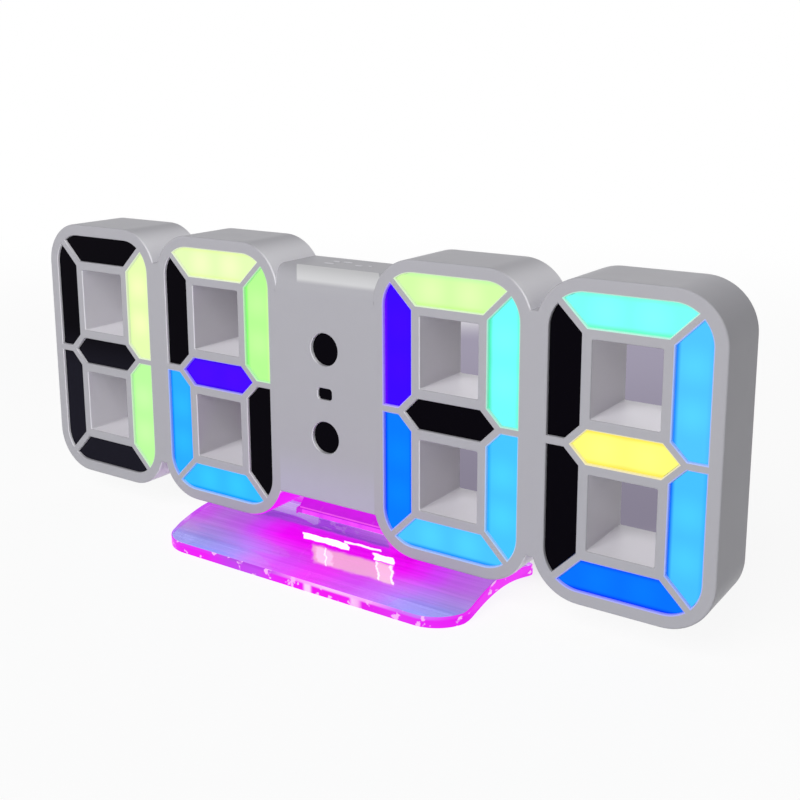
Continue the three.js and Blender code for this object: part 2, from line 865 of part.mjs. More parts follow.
function controllerChip() {
  const pitch = chipLength / chipLegCount;
  const legs = Array.from({ length: chipLegCount }, (_, index) => block(
    around(chipX, chipWidth + chipLegReach * 2),
    [mountY, mountY + chipLegThickness],
    around(buzzerLift - chipLength / 2 + pitch * (index + 1 / 2), chipLegWidth),
  ));
  const body = block(
    around(chipX, chipWidth),
    [mountY, mountY + chipThickness],
    around(buzzerLift, chipLength),
  );
  return join([body, ...legs]);
}

function timingCrystal() {
  const geometry = new THREE.CylinderGeometry(crystalRadius, crystalRadius, crystalLength, smallSides);
  geometry.rotateX(Math.PI / 2);
  geometry.translate(crystalX, mountY + crystalRadius, crystalLift + crystalLength / 2);
  return solidOf(geometry);
}

// A pan-head screw along Y with a driver slot
function screw({ x, z }, headY, length) {
  const slotY = headY + screwHeadHeight - screwSlotDepth;
  return join([
    rod(x, z, screwRadius, headY - length, headY + gap, screwSides),
    rod(x, z, screwHeadRadius, headY, headY + screwHeadHeight),
  ]).subtract(block(
    around(x, screwHeadRadius * 2 + overrun),
    [slotY, headY + screwHeadHeight + overrun],
    around(z, screwSlotWidth),
  ));
}

// Night light in the dock
const nightBoardY = ledgeY - gap - nightBoardDepth;

function nightBoard() {
  const leds = Array.from({ length: nightLedCount }, (_, index) => block(
    around((index - (nightLedCount - 1) / 2) * nightLedSpacing, ledLength),
    around(tongueY + tongueThickness / 2, ledWidth),
    [nightBoardZ - ledThickness, nightBoardZ + nightBoardThickness / 2],
  ));
  return join([
    block(
      around(0, dockWidth - (dockWall + gap) * 2),
      [nightBoardY, nightBoardY + nightBoardDepth],
      [nightBoardZ, nightBoardZ + nightBoardThickness],
    ),
    ...leds,
  ]);
}

function lightHeader() {
  const z0 = panelLift + wall + boardMargin;
  const pinY = nightBoardY + headerPinWidth + gap;
  const pins = Array.from({ length: headerPinCount }, (_, index) => block(
    around((index - (headerPinCount - 1) / 2) * headerPinSpacing, headerPinWidth),
    around(pinY, headerPinWidth),
    [nightBoardZ + nightBoardThickness + gap, z0 + headerHeight / 2],
  ));
  return join([
    block(around(0, headerWidth), [mountY, mountY + headerDepth], [z0, z0 + headerHeight]),
    ...pins,
  ]);
}

const lightBar = () => block(
  around(0, dockWidth - (dockWall + gap) * 2),
  [dockLipY, dockLipY + lightBarDepth],
  [dockLift, dockLift + lightBarThickness],
);

// The stand: an arched plate with a neck and a tongue that plugs into the dock
function archCurve(base, rise) {
  return Array.from({ length: archSteps + 1 }, (_, index) => {
    const share = index / archSteps * 2 - 1;
    return [archOffset + share * archSpan / 2, base + rise * (1 - share * share) ** archFullness];
  });
}

function standPlate() {
  const lower = archCurve(0, archRise);
  const upper = archCurve(standThickness, archRise + crestThickness - standThickness);
  const section = polygon([
    [-standDepth, 0],
    ...lower,
    [standDepth, 0],
    [standDepth, standThickness],
    ...upper.reverse(),
    [-standDepth, standThickness],
  ]);
  const plan = roundedRectangle(around(0, standWidth), around(0, standDepth), standCorner);
  const column = new THREE.ExtrudeGeometry(plan, {
    depth: dockLift,
    curveSegments: cornerSteps,
    bevelEnabled: false,
  });
  return join([
    prismX(section, standWidth).intersect(solidOf(column)),
    block(
      around(0, tongueWidth + neckShoulder * 2),
      [tongueY, tongueY + tongueThickness],
      [standThickness, dockLift - gap],
    ),
    block(around(0, tongueWidth), [tongueY, tongueY + tongueThickness], [standThickness, tongueTop]),
  ]);
}

// The clock, piece by piece
const clock = new THREE.Group();
const put = (name, solid, material) => clock.add(meshOf(name, solid, material));

put('front_shell', frontShell(), whitePlastic);
put('rear_cover', rearCover(), whitePlastic);
digits.forEach(({ name, x }) => {
  put(`lens_${name}`, digitLens(x), smokedPlastic);
  put(`baffle_${name}`, lightBaffle(x), innerPlastic);
});
put('main_board', mainBoard(), greenBoard);
colons.forEach(({ name, z }) => put(`colon_lens_${name}`, colonLens(z), smokedPlastic));
put('colon_baffle', colonBaffle(), innerPlastic);
put('sensor_window', sensorWindow(), smokedPlastic);
put('ir_receiver', irReceiver(), blackPlastic);
buttons.forEach(({ name, x }) => {
  put(`button_${name}`, button(x), whitePlastic);
  put(`switch_body_${name}`, switchBody(x), blackPlastic);
  put(`switch_plunger_${name}`, switchPlunger(x), blackPlastic);
});
put('coin_cell', coinCell(), steel);
put('cell_holder', cellHolder(), blackPlastic);
put('cell_contact', cellContact(), steel);
put('cell_door', cellDoor(), whitePlastic);
put('power_socket', powerSocket(), steel);
put('socket_insert', socketInsert(), blackPlastic);
put('buzzer', buzzer(), blackPlastic);
put('controller_chip', controllerChip(), blackPlastic);
put('timing_crystal', timingCrystal(), steel);
coverScrews.forEach((place, index) => (
  put(`cover_screw_${index + 1}`, screw(place, backY - screwHeadHeight, coverScrewLength), steel)
));
boardScrews.forEach((place, index) => (
  put(`board_screw_${index + 1}`, screw(place, mountY, boardScrewLength), steel)
));
put('night_board', nightBoard(), greenBoard);
put('light_header', lightHeader(), blackPlastic);
put('light_bar', lightBar(), frostedPlastic);
put('stand', standPlate(), clearPlastic);

export default clock;
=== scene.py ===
"""LED desk clock: white digit frames, lit segments and a clear edge-lit stand.

Sizes are in metres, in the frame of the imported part: X across the display, Y to the back, Z up.
Colours are display colours, 0 to 255, and turns are in degrees.
"""

import math

import bmesh
import bpy
from mathutils import Color, Matrix, Vector, geometry


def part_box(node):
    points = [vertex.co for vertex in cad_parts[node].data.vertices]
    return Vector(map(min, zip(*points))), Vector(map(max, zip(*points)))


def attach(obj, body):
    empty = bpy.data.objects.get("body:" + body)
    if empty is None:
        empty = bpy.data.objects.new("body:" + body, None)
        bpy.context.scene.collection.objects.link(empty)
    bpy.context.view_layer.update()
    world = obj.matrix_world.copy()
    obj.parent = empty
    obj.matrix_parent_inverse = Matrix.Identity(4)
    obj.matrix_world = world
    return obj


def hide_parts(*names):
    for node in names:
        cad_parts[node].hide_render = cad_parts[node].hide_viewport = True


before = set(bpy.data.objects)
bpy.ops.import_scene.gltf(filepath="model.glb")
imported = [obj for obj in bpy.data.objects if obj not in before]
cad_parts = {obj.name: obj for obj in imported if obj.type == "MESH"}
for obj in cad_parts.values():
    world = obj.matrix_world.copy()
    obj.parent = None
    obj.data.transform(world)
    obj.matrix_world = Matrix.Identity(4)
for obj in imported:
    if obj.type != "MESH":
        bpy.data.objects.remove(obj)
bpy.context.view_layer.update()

# Outside of the digits
DIGIT_WIDTH = 0.0455
DIGIT_HEIGHT = 0.0784
DIGIT_CORNER = 0.0125
BODY_DEPTH = 0.02
EDGE_ROUND = 0.0005
RIM_ROUND = 0.0003
WALL = 0.0018
RIM_WALL = 0.001
FACE_THICKNESS = 0.002
LEDGE_DEPTH = 0.0023
WEB_INSET = 0.0089
WEB_REACH = 0.0022

# Openings in the face of a digit
FACE_SIDE = 0.00335
FACE_END = 0.0034
SIDE_SEGMENT_WIDTH = 0.0084
END_SEGMENT_HEIGHT = 0.0079
MIDDLE_SEGMENT_HEIGHT = 0.008
RIB_WIDTH = 0.002
RIB_SHIFT = 0.00055
WINDOW_FRAME = 0.0026
WINDOW_CORNER = 0.0004
SLEEVE_WALL = 0.0012
OPENING_ROUND = 0.0003
PANE_SETBACK = 0.0007
PANE_FIT = 0.0001
SEGMENT_DEPTH = 0.002
SEGMENT_ROUND = 0.00015

# Panel, colon and sensor window
PANEL_LOW_RISE = 0.0094
PANEL_TOP_DROP = 0.0055
PANEL_TOP_ROUND = 0.0063
PANEL_INTO_FRAME = 0.0006
PANEL_FLAT = 0.0008
COLON_RADIUS = 0.00445
COLON_ROUND = 0.0005
SENSOR_WIDTH = 0.0047
SENSOR_HEIGHT = 0.0032
SENSOR_CORNER = 0.001
SENSOR_SETBACK = 0.0004

# Raised marks on top of the panel: place in X and Y, and width
MARK_HEIGHT = 0.0008
MARK_RISE = 0.00012
MARK_ROUND = 0.0001
MARKS = (
    (-0.0062, 0.0056, 0.0032),
    (-0.0062, 0.0092, 0.0022),
    (-0.0026, 0.0094, 0.0028),
    (0.0030, 0.0066, 0.0022),
    (0.0062, 0.0074, 0.0012),
)

# Rear cover and what is set into it
COVER_INSET = 0.0013
COVER_THICKNESS = 0.002
COVER_ROUND = 0.0002
HOLE_GAP = 0.0002
SCREW_HEAD = 0.001
SCREW_ROUND = 0.0004
CROSS_LENGTH = 0.002
CROSS_WIDTH = 0.0005
CROSS_DEPTH = 0.0005
BUTTON_NAMES = ("set", "down", "up")
BUTTON_RADIUS = 0.0026
BUTTON_FLANGE = 0.0009
BUTTON_ROUND = 0.0006
DOOR_NOTCH_TURN = 60
DOOR_LUG_TURN = 30
DOOR_LUG_REACH = 0.0014
DOOR_LUG_THICKNESS = 0.0005
DOOR_ROUND = 0.0004
SLOT_LENGTH = 0.015
SLOT_WIDTH = 0.002
SLOT_DEPTH = 0.0011
SLOT_ROUND = 0.00015
SOUND_CENTRE = (-0.008, 0.0363)
SOUND_RING = 0.0026
SOUND_RADIUS = 0.0007
SOUND_COUNT = 6
KEYHOLE_RADIUS = 0.0036
KEYHOLE_SLOT = 0.0019
KEYHOLE_TRAVEL = 0.003
KEYHOLE_DROP = 0.0076
SOCKET_CORNER = 0.0012

# Dock under the panel
DOCK_WIDTH = 0.034
DOCK_LIP = 0.0008
DOCK_FLARE_RISE = 0.0027
DOCK_FLARE_REACH = 0.0026
DOCK_LEAN = 0.0016
DOCK_END_ROUND = 0.0004
DOCK_GROOVE = (0.0003, 0.0007)
DOCK_GROOVE_DEPTH = 0.0003
DOCK_RIB_PLACE = 0.009
DOCK_RIB_WIDTH = 0.0005
DOCK_RIB_LENGTH = 0.0014
DOCK_RIB_PROUD = 0.0003

# Clear stand
STAND_BACK_CORNER = 0.0015
STAND_CORNER = 0.011
STAND_THICKNESS = 0.003
STAND_CREST = 0.0034
STAND_ROUND = 0.0004
ARCH_RISE = 0.0027
ARCH_SPAN = 0.034
ARCH_OFFSET = 0.003
ARCH_FULLNESS = 1.25
ARCH_CUTS = 40
RIM_SLOPE = 0.93
NECK_SHOULDER = 0.0025
TONGUE_GAP = 0.0003
TONGUE_OFFSET = 0.0107
TONGUE_WIDTH = 0.024
TONGUE_THICKNESS = 0.0028
TONGUE_ROUND = 0.0003

# Steps on round forms, and limits for merging and shading
QUARTER = 90
CORNER_STEPS = 20
SMALL_STEPS = 5
ROUND_COUNT = 64
FILLET_STEPS = 4
TOP_STEPS = 14
MERGE_LIMIT = 1e-7
REGION_LIMIT = 1e-9
SHORT_EDGE = 0.0003
SHARP_ANGLE = math.radians(38)
FULL_WEIGHT = 100


def middle_of(node):
    """The middle of a node's box, in X and Z."""
    middle = sum(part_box(node), Vector()) / 2
    return middle.x, middle.z


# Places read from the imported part
DIGIT_NAMES = ("hour_tens", "hour_units", "minute_tens", "minute_units")
digit_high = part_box("front_shell")[1].z
digit_x = [middle_of(f"lens_{name}")[0] for name in DIGIT_NAMES]
cover_low, cover_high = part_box("rear_cover")
bar_low, bar_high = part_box("light_bar")
door_low, door_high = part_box("cell_door")
back_y = cover_high.y
front_y = back_y - BODY_DEPTH
face_back_y = front_y + FACE_THICKNESS
ledge_y = back_y - LEDGE_DEPTH
digit_low = digit_high - DIGIT_HEIGHT
digit_middle = (digit_low + digit_high) / 2
panel_side = digit_x[2] - DIGIT_WIDTH / 2
panel_low = digit_low + PANEL_LOW_RISE
panel_top = digit_high - PANEL_TOP_DROP
face_high = panel_top - PANEL_TOP_ROUND - PANEL_FLAT
web_x = (digit_x[2] + digit_x[3]) / 2
web_height = DIGIT_HEIGHT - WEB_INSET * 2
colon_heights = {name: middle_of(f"colon_lens_{name}")[1] for name in ("lower", "upper")}
sensor_centre = (0, middle_of("sensor_window")[1])


# Outlines are lists of 2-D points with the material on the left of each edge
def arc(centre, radius, start, end, steps):
    turns = [math.radians(start + (end - start) * step / steps) for step in range(steps + 1)]
    return [(centre[0] + radius * math.cos(turn), centre[1] + radius * math.sin(turn)) for turn in turns]


def circle(centre, radius, count=ROUND_COUNT):
    return arc(centre, radius, 0, QUARTER * 4, count)[:-1]


def rectangle(centre, size):
    corners = ((-1, -1), (1, -1), (1, 1), (-1, 1))
    return [(centre[0] + side * size[0] / 2, centre[1] + end * size[1] / 2) for side, end in corners]


def rounded_rectangle(centre, size, radius, steps=SMALL_STEPS):
    reach = (size[0] / 2 - radius, size[1] / 2 - radius)
    points = []
    for side, end, start in ((1, -1, -QUARTER), (1, 1, 0), (-1, 1, QUARTER), (-1, -1, QUARTER * 2)):
        middle = (centre[0] + side * reach[0], centre[1] + end * reach[1])
        points += arc(middle, radius, start, start + QUARTER, steps)
    return points


def sector(centre, radius, turn, spread):
    """A wedge from the centre to the radius round one direction."""
    return [centre, *arc(centre, radius, turn - spread / 2, turn + spread / 2, SMALL_STEPS * 2)]


def bar(start, end, width):
    """A straight bar that runs past both its ends by half its width."""
    along = (Vector(end) - Vector(start)).normalized() * width / 2
    across = Vector((-along.y, along.x))
    first, last = Vector(start) - along, Vector(end) + along
    return [tuple(p) for p in (first - across, last - across, last + across, first + across)]


def reverse(loops):
    return [loop[::-1] for loop in loops]


def inset(loop, distance):
    """The same outline, moved into its material."""
    points = [Vector(p) for p in loop]
    moved = []
    for before, here, after in zip(points[-1:] + points[:-1], points, points[1:] + points[:1]):
        a, b = (here - before).normalized(), (after - here).normalized()
        normals = Vector((-a.y, a.x)), Vector((-b.y, b.x))
        moved.append(tuple(here + (normals[0] + normals[1]) * distance / (1 + normals[0].dot(normals[1]))))
    return moved


def area(loop):
    return sum(a[0] * b[1] - b[0] * a[1] for a, b in zip(loop, loop[1:] + loop[:1])) / 2


def centre_of(loop):
    xs, zs = zip(*loop)
    return (min(xs) + max(xs)) / 2, (min(zs) + max(zs)) / 2


def region(solids, holes=()):
    """The outlines of solids joined together, less the holes."""
    coordinates, faces = [], []
    for loop in [*solids, *holes]:
        faces.append(list(range(len(coordinates), len(coordinates) + len(loop))))
        coordinates += [Vector(p) for p in loop]
    points, _, made, _, _, parents = geometry.delaunay_2d_cdt(coordinates, [], faces, 1, REGION_LIMIT)
    kept = [f for f, owners in zip(made, parents) if owners and max(owners) < len(solids)]
    edges = {(a, b) for f in kept for a, b in zip(f, list(f[1:]) + [f[0]])}
    follows = {a: b for a, b in edges if (b, a) not in edges}
    loops = []
    while follows:
        start = min(follows)
        loop, here = [start], follows.pop(start)
        while here != start:
            loop.append(here)
            here = follows.pop(here)
        loops.append(without_short_edges([points[i] for i in loop]))
    return loops


def without_short_edges(loop):
    """Drops the blunter end of every edge too short to be moved inwards."""
    place = 0
    while place < len(loop):
        before, here, after, beyond = (loop[(place + k) % len(loop)] for k in (-1, 0, 1, 2))
        if (after - here).length < SHORT_EDGE:
            turns = (here - before).angle(after - here, 0), (after - here).angle(beyond - after, 0)
            del loop[place if turns[0] < turns[1] else (place + 1) % len(loop)]
            place = 0
        else:
            place += 1
    return [tuple(point) for point in loop]


def fillet(depth, radius, way=1):
    """Levels, as depth and inset, of a rounded edge from a face to the wall behind it."""
    turns = [math.pi / 2 * step / FILLET_STEPS for step in range(FILLET_STEPS + 1)]
    return [(depth + way * radius * (1 - math.cos(t)), radius * (1 - math.sin(t))) for t in turns]


def fillet_end(depth, radius):
    return fillet(depth, radius, -1)[::-1]


# Ways of placing an outline in space
def upright(a, b, depth):
    return a, depth, b


def level(a, b, depth):
    return a, b, depth


def sideways(a, b, depth):
    return depth, a, b


class Solid:
    """A closed mesh made of rings, the walls between rings, and flat caps."""

    def __init__(self, place=upright):
        self.place = place
        self.points, self.flat, self.faces, self.finishes = [], [], [], []

    def ring(self, loop, depth):
        first = len(self.points)
        self.points += [self.place(a, b, depth) for a, b in loop]
        self.flat += loop
        return list(range(first, len(self.points)))

    def face(self, corners, finish=0):
        self.faces.append(tuple(corners))
        self.finishes.append(finish)

    def wall(self, near, far, finish=0):
        """A wall between two rings, with one finish or a finish for each edge."""
        for i in range(len(near)):
            j = (i + 1) % len(near)
            self.face((near[i], far[i], far[j], near[j]), finish[i] if isinstance(finish, list) else finish)

    def walls(self, loop, levels, finish=0):
        """Walls along one outline through its levels; gives the first and last ring."""
        rings = [self.ring(inset(loop, distance), depth) for depth, distance in levels]
        for near, far in zip(rings, rings[1:]):
            self.wall(near, far, finish)
        return rings[0], rings[-1]

    def cap(self, rings, finish=0):
        indexes = [i for ring in rings for i in ring]
        where = {index: place for place, index in enumerate(indexes)}
        outer = {k for k, ring in enumerate(rings) if area([self.flat[i] for i in ring]) > 0}
        loops = [
            [where[i] for i in (ring if k in outer else reversed(ring))] for k, ring in enumerate(rings)
        ]
        coordinates = [Vector(self.flat[i]) for i in indexes]
        _, _, made, sources, _, parents = geometry.delaunay_2d_cdt(coordinates, [], loops, 1, REGION_LIMIT)
        for face, owners in zip(made, parents):
            if owners and all(k in outer for k in owners):
                self.face((indexes[sources[i][0]] for i in face), finish)

    def plate(self, loops, levels):
        """A plate with its edges shaped by the levels, closed at both ends."""
        rings = [self.walls(loop, levels) for loop in loops]
        self.cap([first for first, _ in rings])
        self.cap([last for _, last in rings])
        return self

    def recess(self, outline, levels, hollow, depth, edge=0):
        """A plate with a blind recess in its back face."""
        first, last = self.walls(outline, levels)
        bottom, mouth = self.walls(hollow[::-1], [(back_y - depth, 0), *fillet_end(back_y, edge)])
        self.cap([first])
        self.cap([last, mouth])
        self.cap([bottom[::-1]])
        return self

    def piece(self, name, materials, slot, *replaced, body="clock", shape=None):
        """Makes the mesh, changes its shape if asked, cleans and shades it as a piece of the clock."""
        mesh = bpy.data.meshes.new(name)
        mesh.from_pydata(self.points, [], self.faces)
        mesh.polygons.foreach_set("material_index", self.finishes)
        work = bmesh.new()
        work.from_mesh(mesh)
        if shape:
            shape(work)
        bmesh.ops.remove_doubles(work, verts=work.verts, dist=MERGE_LIMIT)
        bmesh.ops.recalc_face_normals(work, faces=work.faces)
        work.to_mesh(mesh)
        work.free()
        mesh.shade_smooth()
        mesh.set_sharp_from_angle(angle=SHARP_ANGLE)
        for material in materials:
            mesh.materials.append(material)
        piece = add_object(name, mesh)
        shading = piece.modifiers.new("even_normals", "WEIGHTED_NORMAL")
        shading.keep_sharp = True
        shading.weight = FULL_WEIGHT
        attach(piece, body)
        if replaced:
            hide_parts(*replaced)
        return piece


def add_object(name, data):
    made = bpy.data.objects.new(name, data)
    bpy.context.scene.collection.objects.link(made)
    return made


BRIGHTEST = 255
PURE_WHITE = (BRIGHTEST, BRIGHTEST, BRIGHTEST)


def linear(colour):
    """A display colour as the shader's linear colour."""
    return [*Color(part / BRIGHTEST for part in colour).from_srgb_to_scene_linear(), 1]


# Scales of what is uneven on a surface: its tone, its roughness and its grain
FINE_GRAIN = 4500
BROAD_GRAIN = 60
SCALES = (BROAD_GRAIN, BROAD_GRAIN * 3, FINE_GRAIN)
EVEN = (1, 1, 1)
GRAIN_DEPTH = 0.00002


class Graph:
    """Shader nodes of a material or of the world. An input takes a value or a node's output."""

    def __init__(self, holder):
        holder.use_nodes = True
        self.tree = holder.node_tree

    def feed(self, node, inputs):
        for name, value in inputs.items():
            if isinstance(value, bpy.types.NodeSocket):
                self.tree.links.new(value, node.inputs[name])
            else:
                node.inputs[name].default_value = value
        return node

    def node(self, kind, inputs=(), **values):
        made = self.tree.nodes.new(kind)
        for name, value in values.items():
            setattr(made, name, value)
        return self.feed(made, dict(inputs))

    def position(self):
        return self.node("ShaderNodeTexCoord").outputs["Object"]

    def noise(self, scale, detail=2, stretch=EVEN):
        place = self.node("ShaderNodeMapping", {"Vector": self.position(), "Scale": stretch})
        inputs = {"Vector": place.outputs[0], "Scale": scale, "Detail": detail}
        return self.node("ShaderNodeTexNoise", inputs).outputs["Fac"]

    def spread(self, value, low, high, start=0, end=1, way="LINEAR"):
        """Maps a value from start..end to low..high."""
        inputs = {"Value": value, "From Min": start, "From Max": end, "To Min": low, "To Max": high}
        return self.node("ShaderNodeMapRange", inputs, interpolation_type=way).outputs[0]

    def step(self, value, start, end):
        """0 where the value is below the start, 1 past the end, smooth between."""
        return self.spread(value, 0, 1, start, end, "SMOOTHSTEP")

    def part(self, axis, vector=None):
        """One part of a vector, or of the place of a point."""
        return self.node("ShaderNodeSeparateXYZ", {0: vector or self.position()}).outputs[axis]

    def facing(self, axis):
        """How far a surface faces along an axis, from -1 to 1."""
        return self.part(axis, self.node("ShaderNodeNewGeometry").outputs["Normal"])

    def aside(self, middle=0):
        """How far a point is from the middle, to either side."""
        return self.join("ABSOLUTE", self.join("SUBTRACT", self.part("X"), middle))

    def between(self, centre, operation):
        """The way or the distance from the centre to a point."""
        return self.node("ShaderNodeVectorMath", {0: self.position(), 1: centre}, operation=operation)

    def distance(self, centre):
        return self.between(centre, "DISTANCE").outputs["Value"]

    def join(self, operation, *values):
        """The values joined two by two with one operation."""
        total = values[0]
        for value in values[1:] or (0,):
            total = self.node("ShaderNodeMath", {0: total, 1: value}, operation=operation).outputs[0]
        return total

    def mask(self, *steps):
        """The product of steps, each a value with its start and end."""
        return self.join("MULTIPLY", *[self.step(*step) for step in steps])

    def patch(self, across, along, limits, soft):
        """1 inside the limits of two values and 0 outside, with soft sides."""
        steps = []
        for value, (start, end) in zip((across, along), limits):
            steps += [(value, start, start + soft), (value, end, end - soft)]
        return self.mask(*steps)

    def blend(self, share, first, second, mode="MIX"):
        """Two colours mixed, each a display colour or a node's output."""
        first, second = (linear(hue) if isinstance(hue, tuple) else hue for hue in (first, second))
        inputs = {"Factor": share, "A": first, "B": second}
        return self.node("ShaderNodeMix", inputs, data_type="RGBA", blend_type=mode).outputs["Result"]

    def ramp(self, value, stops, smooth="EASE"):
        """A colour for each value; stops are pairs of a value and its colour."""
        low, high = stops[0][0], stops[-1][0]
        made = self.node("ShaderNodeValToRGB", {"Fac": self.spread(value, 0, 1, low, high)})
        stages = made.color_ramp.elements
        made.color_ramp.interpolation = smooth
        stages[0].color, stages[1].color = linear(stops[0][1]), linear(stops[-1][1])
        for place, colour in stops[1:-1]:
            stages.new((place - low) / (high - low)).color = linear(colour)
        return made.outputs["Color"]

    def outside(self):
        """1 where a surface is seen from outside the solid."""
        return self.join("SUBTRACT", 1, self.node("ShaderNodeNewGeometry").outputs["Backfacing"])

    def seen_directly(self):
        """1 for rays from the camera, from gloss and through glass, else 0."""
        path = self.node("ShaderNodeLightPath")
        rays = [path.outputs[f"Is {kind} Ray"] for kind in ("Camera", "Glossy", "Transmission")]
        return self.join("MAXIMUM", *rays)

    def cover(self, share, first, second, target):
        """Mixes two shaders by a share as the surface of the whole."""
        inputs = {0: share, 1: first.outputs[0], 2: second.outputs[0]}
        self.feed(self.tree.nodes[target], {"Surface": self.node("ShaderNodeMixShader", inputs).outputs[0]})


class Finish(Graph):
    """A procedural material round a Principled shader."""

    def __init__(self, name, **values):
        self.material = bpy.data.materials.new(name)
        super().__init__(self.material)
        self.shader = self.tree.nodes["Principled BSDF"]
        self.set(**values)

    def set(self, **values):
        """Sets or links the shader's inputs; a tuple is a display colour."""
        for name, value in values.items():
            value = linear(value) if isinstance(value, tuple) else value
            self.feed(self.shader, {name.replace("_", " "): value})
        return self

    def rough(self, low, high, scale=BROAD_GRAIN, stretch=EVEN):
        return self.set(Roughness=self.spread(self.noise(scale, stretch=stretch), low, high))

    def grain(self, strength, scale=FINE_GRAIN):
        inputs = {"Strength": strength, "Distance": GRAIN_DEPTH, "Height": self.noise(scale)}
        return self.set(Normal=self.node("ShaderNodeBump", inputs).outputs[0])


def uneven(name, rough, grain, tones=(), scales=SCALES, stretch=EVEN, **values):
    """A material with uneven roughness and grain, and a colour that wanders between two tones if given."""
    made = Finish(name, **values).rough(*rough, scales[1], stretch).grain(grain, scales[2])
    return made.set(Base_Color=made.blend(made.noise(scales[0]), *tones)) if tones else made


# Plain materials: two close tones, least and most roughness, strength of the grain, and what else differs
WHITE = ((176, 175, 181), (181, 180, 186))
MATT = {"rough": (0.34, 0.42), "grain": 0.06, "Specular_IOR_Level": 0.08}
SMOOTH = {"rough": (0.12, 0.2), "grain": 0.04, "Specular_IOR_Level": 0.015}
PLAIN = {
    "mark_plastic": {"tones": ((208, 207, 213), (214, 213, 219)), **MATT},
    "white_plastic": {"tones": WHITE, **MATT},
    "inner_plastic": {
        "tones": ((215, 215, 217), (224, 224, 226)),
        "rough": (0.5, 0.6),
        "grain": 0.1,
        "scales": (BROAD_GRAIN, BROAD_GRAIN, FINE_GRAIN),
    },
    "black_plastic": {"tones": ((34, 34, 36), (42, 42, 44)), "rough": (0.42, 0.55), "grain": 0.12},
    "circuit_board": {
        "tones": ((30, 96, 58), (44, 122, 74)),
        "rough": (0.3, 0.5),
        "grain": 0.15,
        "scales": (900, 600, 900),
    },
    "steel": {
        "tones": ((196, 197, 200), (210, 211, 214)),
        "rough": (0.22, 0.36),
        "grain": 0.04,
        "scales": (BROAD_GRAIN, 1500, FINE_GRAIN),
        "stretch": (1, 1, 0.1),
        "Metallic": 1,
    },
}
mark_plastic, white_plastic, inner_plastic, black_plastic, circuit_board, steel = (
    uneven(name, **values).material for name, values in PLAIN.items()
)

# Painted bounce light on the walls between the digits: range of the way they face, where they end, and their
# painted pale tone
NOTCH_TURN = (0.15, 0.85)
NOTCH_END = (0.0640, 0.0625)
NOTCH_BOUNCE_LIGHT = (250, 249, 254)

# Light of the bar on the digits' lower walls beside the dock
SPILL_TURN = (-0.1, -0.3)
SPILL_SIDE = (0.0300, 0.0240)
SPILL_DROP = 0.001
SPILL_BASE = (110, 20, 120)
SPILL_LIGHT = (234, 30, 247)
SPILL_STRENGTH = 0.92

# Painted violet glow at the foot of the panel, above the lit dock: its tone, and where it fades
FOOT_GLOW_FADE = (0.0340, 0.0190)
FOOT_GLOW_TONE = (183, 182, 196)


def shell_plastic():
    """White plastic, with painted bounce light opposite the next digit, a painted violet glow at the foot of
    the panel, and lit by the bar beside the dock.
    """
    made = uneven("shell_plastic", **MATT)
    # Painted bounce light on walls that face the next digit
    inner = made.mask((made.facing("X"), *NOTCH_TURN), (made.part("X"), *NOTCH_END))
    spill = made.mask(
        (made.facing("Z"), *SPILL_TURN),
        (made.aside(), *SPILL_SIDE),
        (made.part("Z"), panel_low, panel_low - SPILL_DROP),
    )
    # Painted violet glow at the foot of the panel
    foot_glow = made.mask((made.part("Z"), *FOOT_GLOW_FADE), (made.aside(), panel_side + EDGE_ROUND, panel_side))
    tone = made.blend(inner, made.blend(foot_glow, WHITE[0], FOOT_GLOW_TONE), NOTCH_BOUNCE_LIGHT)
    made.set(Emission_Color=SPILL_LIGHT, Emission_Strength=made.spread(spill, 0, SPILL_STRENGTH))
    return made.set(Base_Color=made.blend(spill, tone, SPILL_BASE)).material


# Window walls: tone, and a paler one painted as light falling on the floors and on the left walls of the
# first digit
SLEEVE_PLAIN = (212, 209, 215)
SLEEVE_PAINTED_LIGHT = (233, 231, 236)
SLEEVE_LOW_SHARE = 0.6
SLEEVE_STEP = 0.002
FACING_UP = (0.3, 0.8)
FACING_RIGHT = (0.5, 0.9)
FIRST_DIGIT_END = (-0.0600, -0.0630)


def window_plastic():
    """White plastic of the window walls, painted paler where light falls on them."""
    made = uneven("window_plastic", **MATT)
    upper = made.step(made.part("Z"), digit_middle - SLEEVE_STEP, digit_middle + SLEEVE_STEP)
    floors = made.step(made.facing("Z"), *FACING_UP)
    floors = made.join("MULTIPLY", floors, made.spread(upper, SLEEVE_LOW_SHARE, 1))
    lefts = made.mask((made.facing("X"), *FACING_RIGHT), (made.part("X"), *FIRST_DIGIT_END))
    # Painted light on the window floors and on the first digit's left walls
    painted_light = made.join("MAXIMUM", floors, lefts)
    return made.set(Base_Color=made.blend(painted_light, SLEEVE_PLAIN, SLEEVE_PAINTED_LIGHT)).material


# Smoked plastic of the dark segments, with a painted sheen low on the first digit
SMOKE_DARK = (7, 5, 11)
SMOKE_PAINTED_SHEEN = (27, 26, 36)
SMOKE_STEP = 0.008


def smoked():
    """Smoked plastic, with a painted sheen low on the first digit."""
    made = uneven("smoked_plastic", **SMOOTH)
    low = (made.part("Z"), digit_middle + SMOKE_STEP, digit_middle - SMOKE_STEP)
    # Painted sheen on the low segments of the first digit
    painted_light = made.mask((made.part("X"), *FIRST_DIGIT_END), low)
    return made.set(Base_Color=made.blend(painted_light, SMOKE_DARK, SMOKE_PAINTED_SHEEN)).material


smoked_plastic = smoked()

# Segments light up from their LEDs: a colour across each one, paler near its LEDs
LED_SPACING = 0.011
GLOW_REACH = 0.0065
GLOW_SHARE = 0.16
EDGE_GLOW = 0.0013
HALO_STRENGTH = 0.45
LIT_GRAIN = 0.04
LIT_SURFACE = {"Roughness": 0.4, "Specular_IOR_Level": 0.02, "Base_Color": (4, 4, 5)}


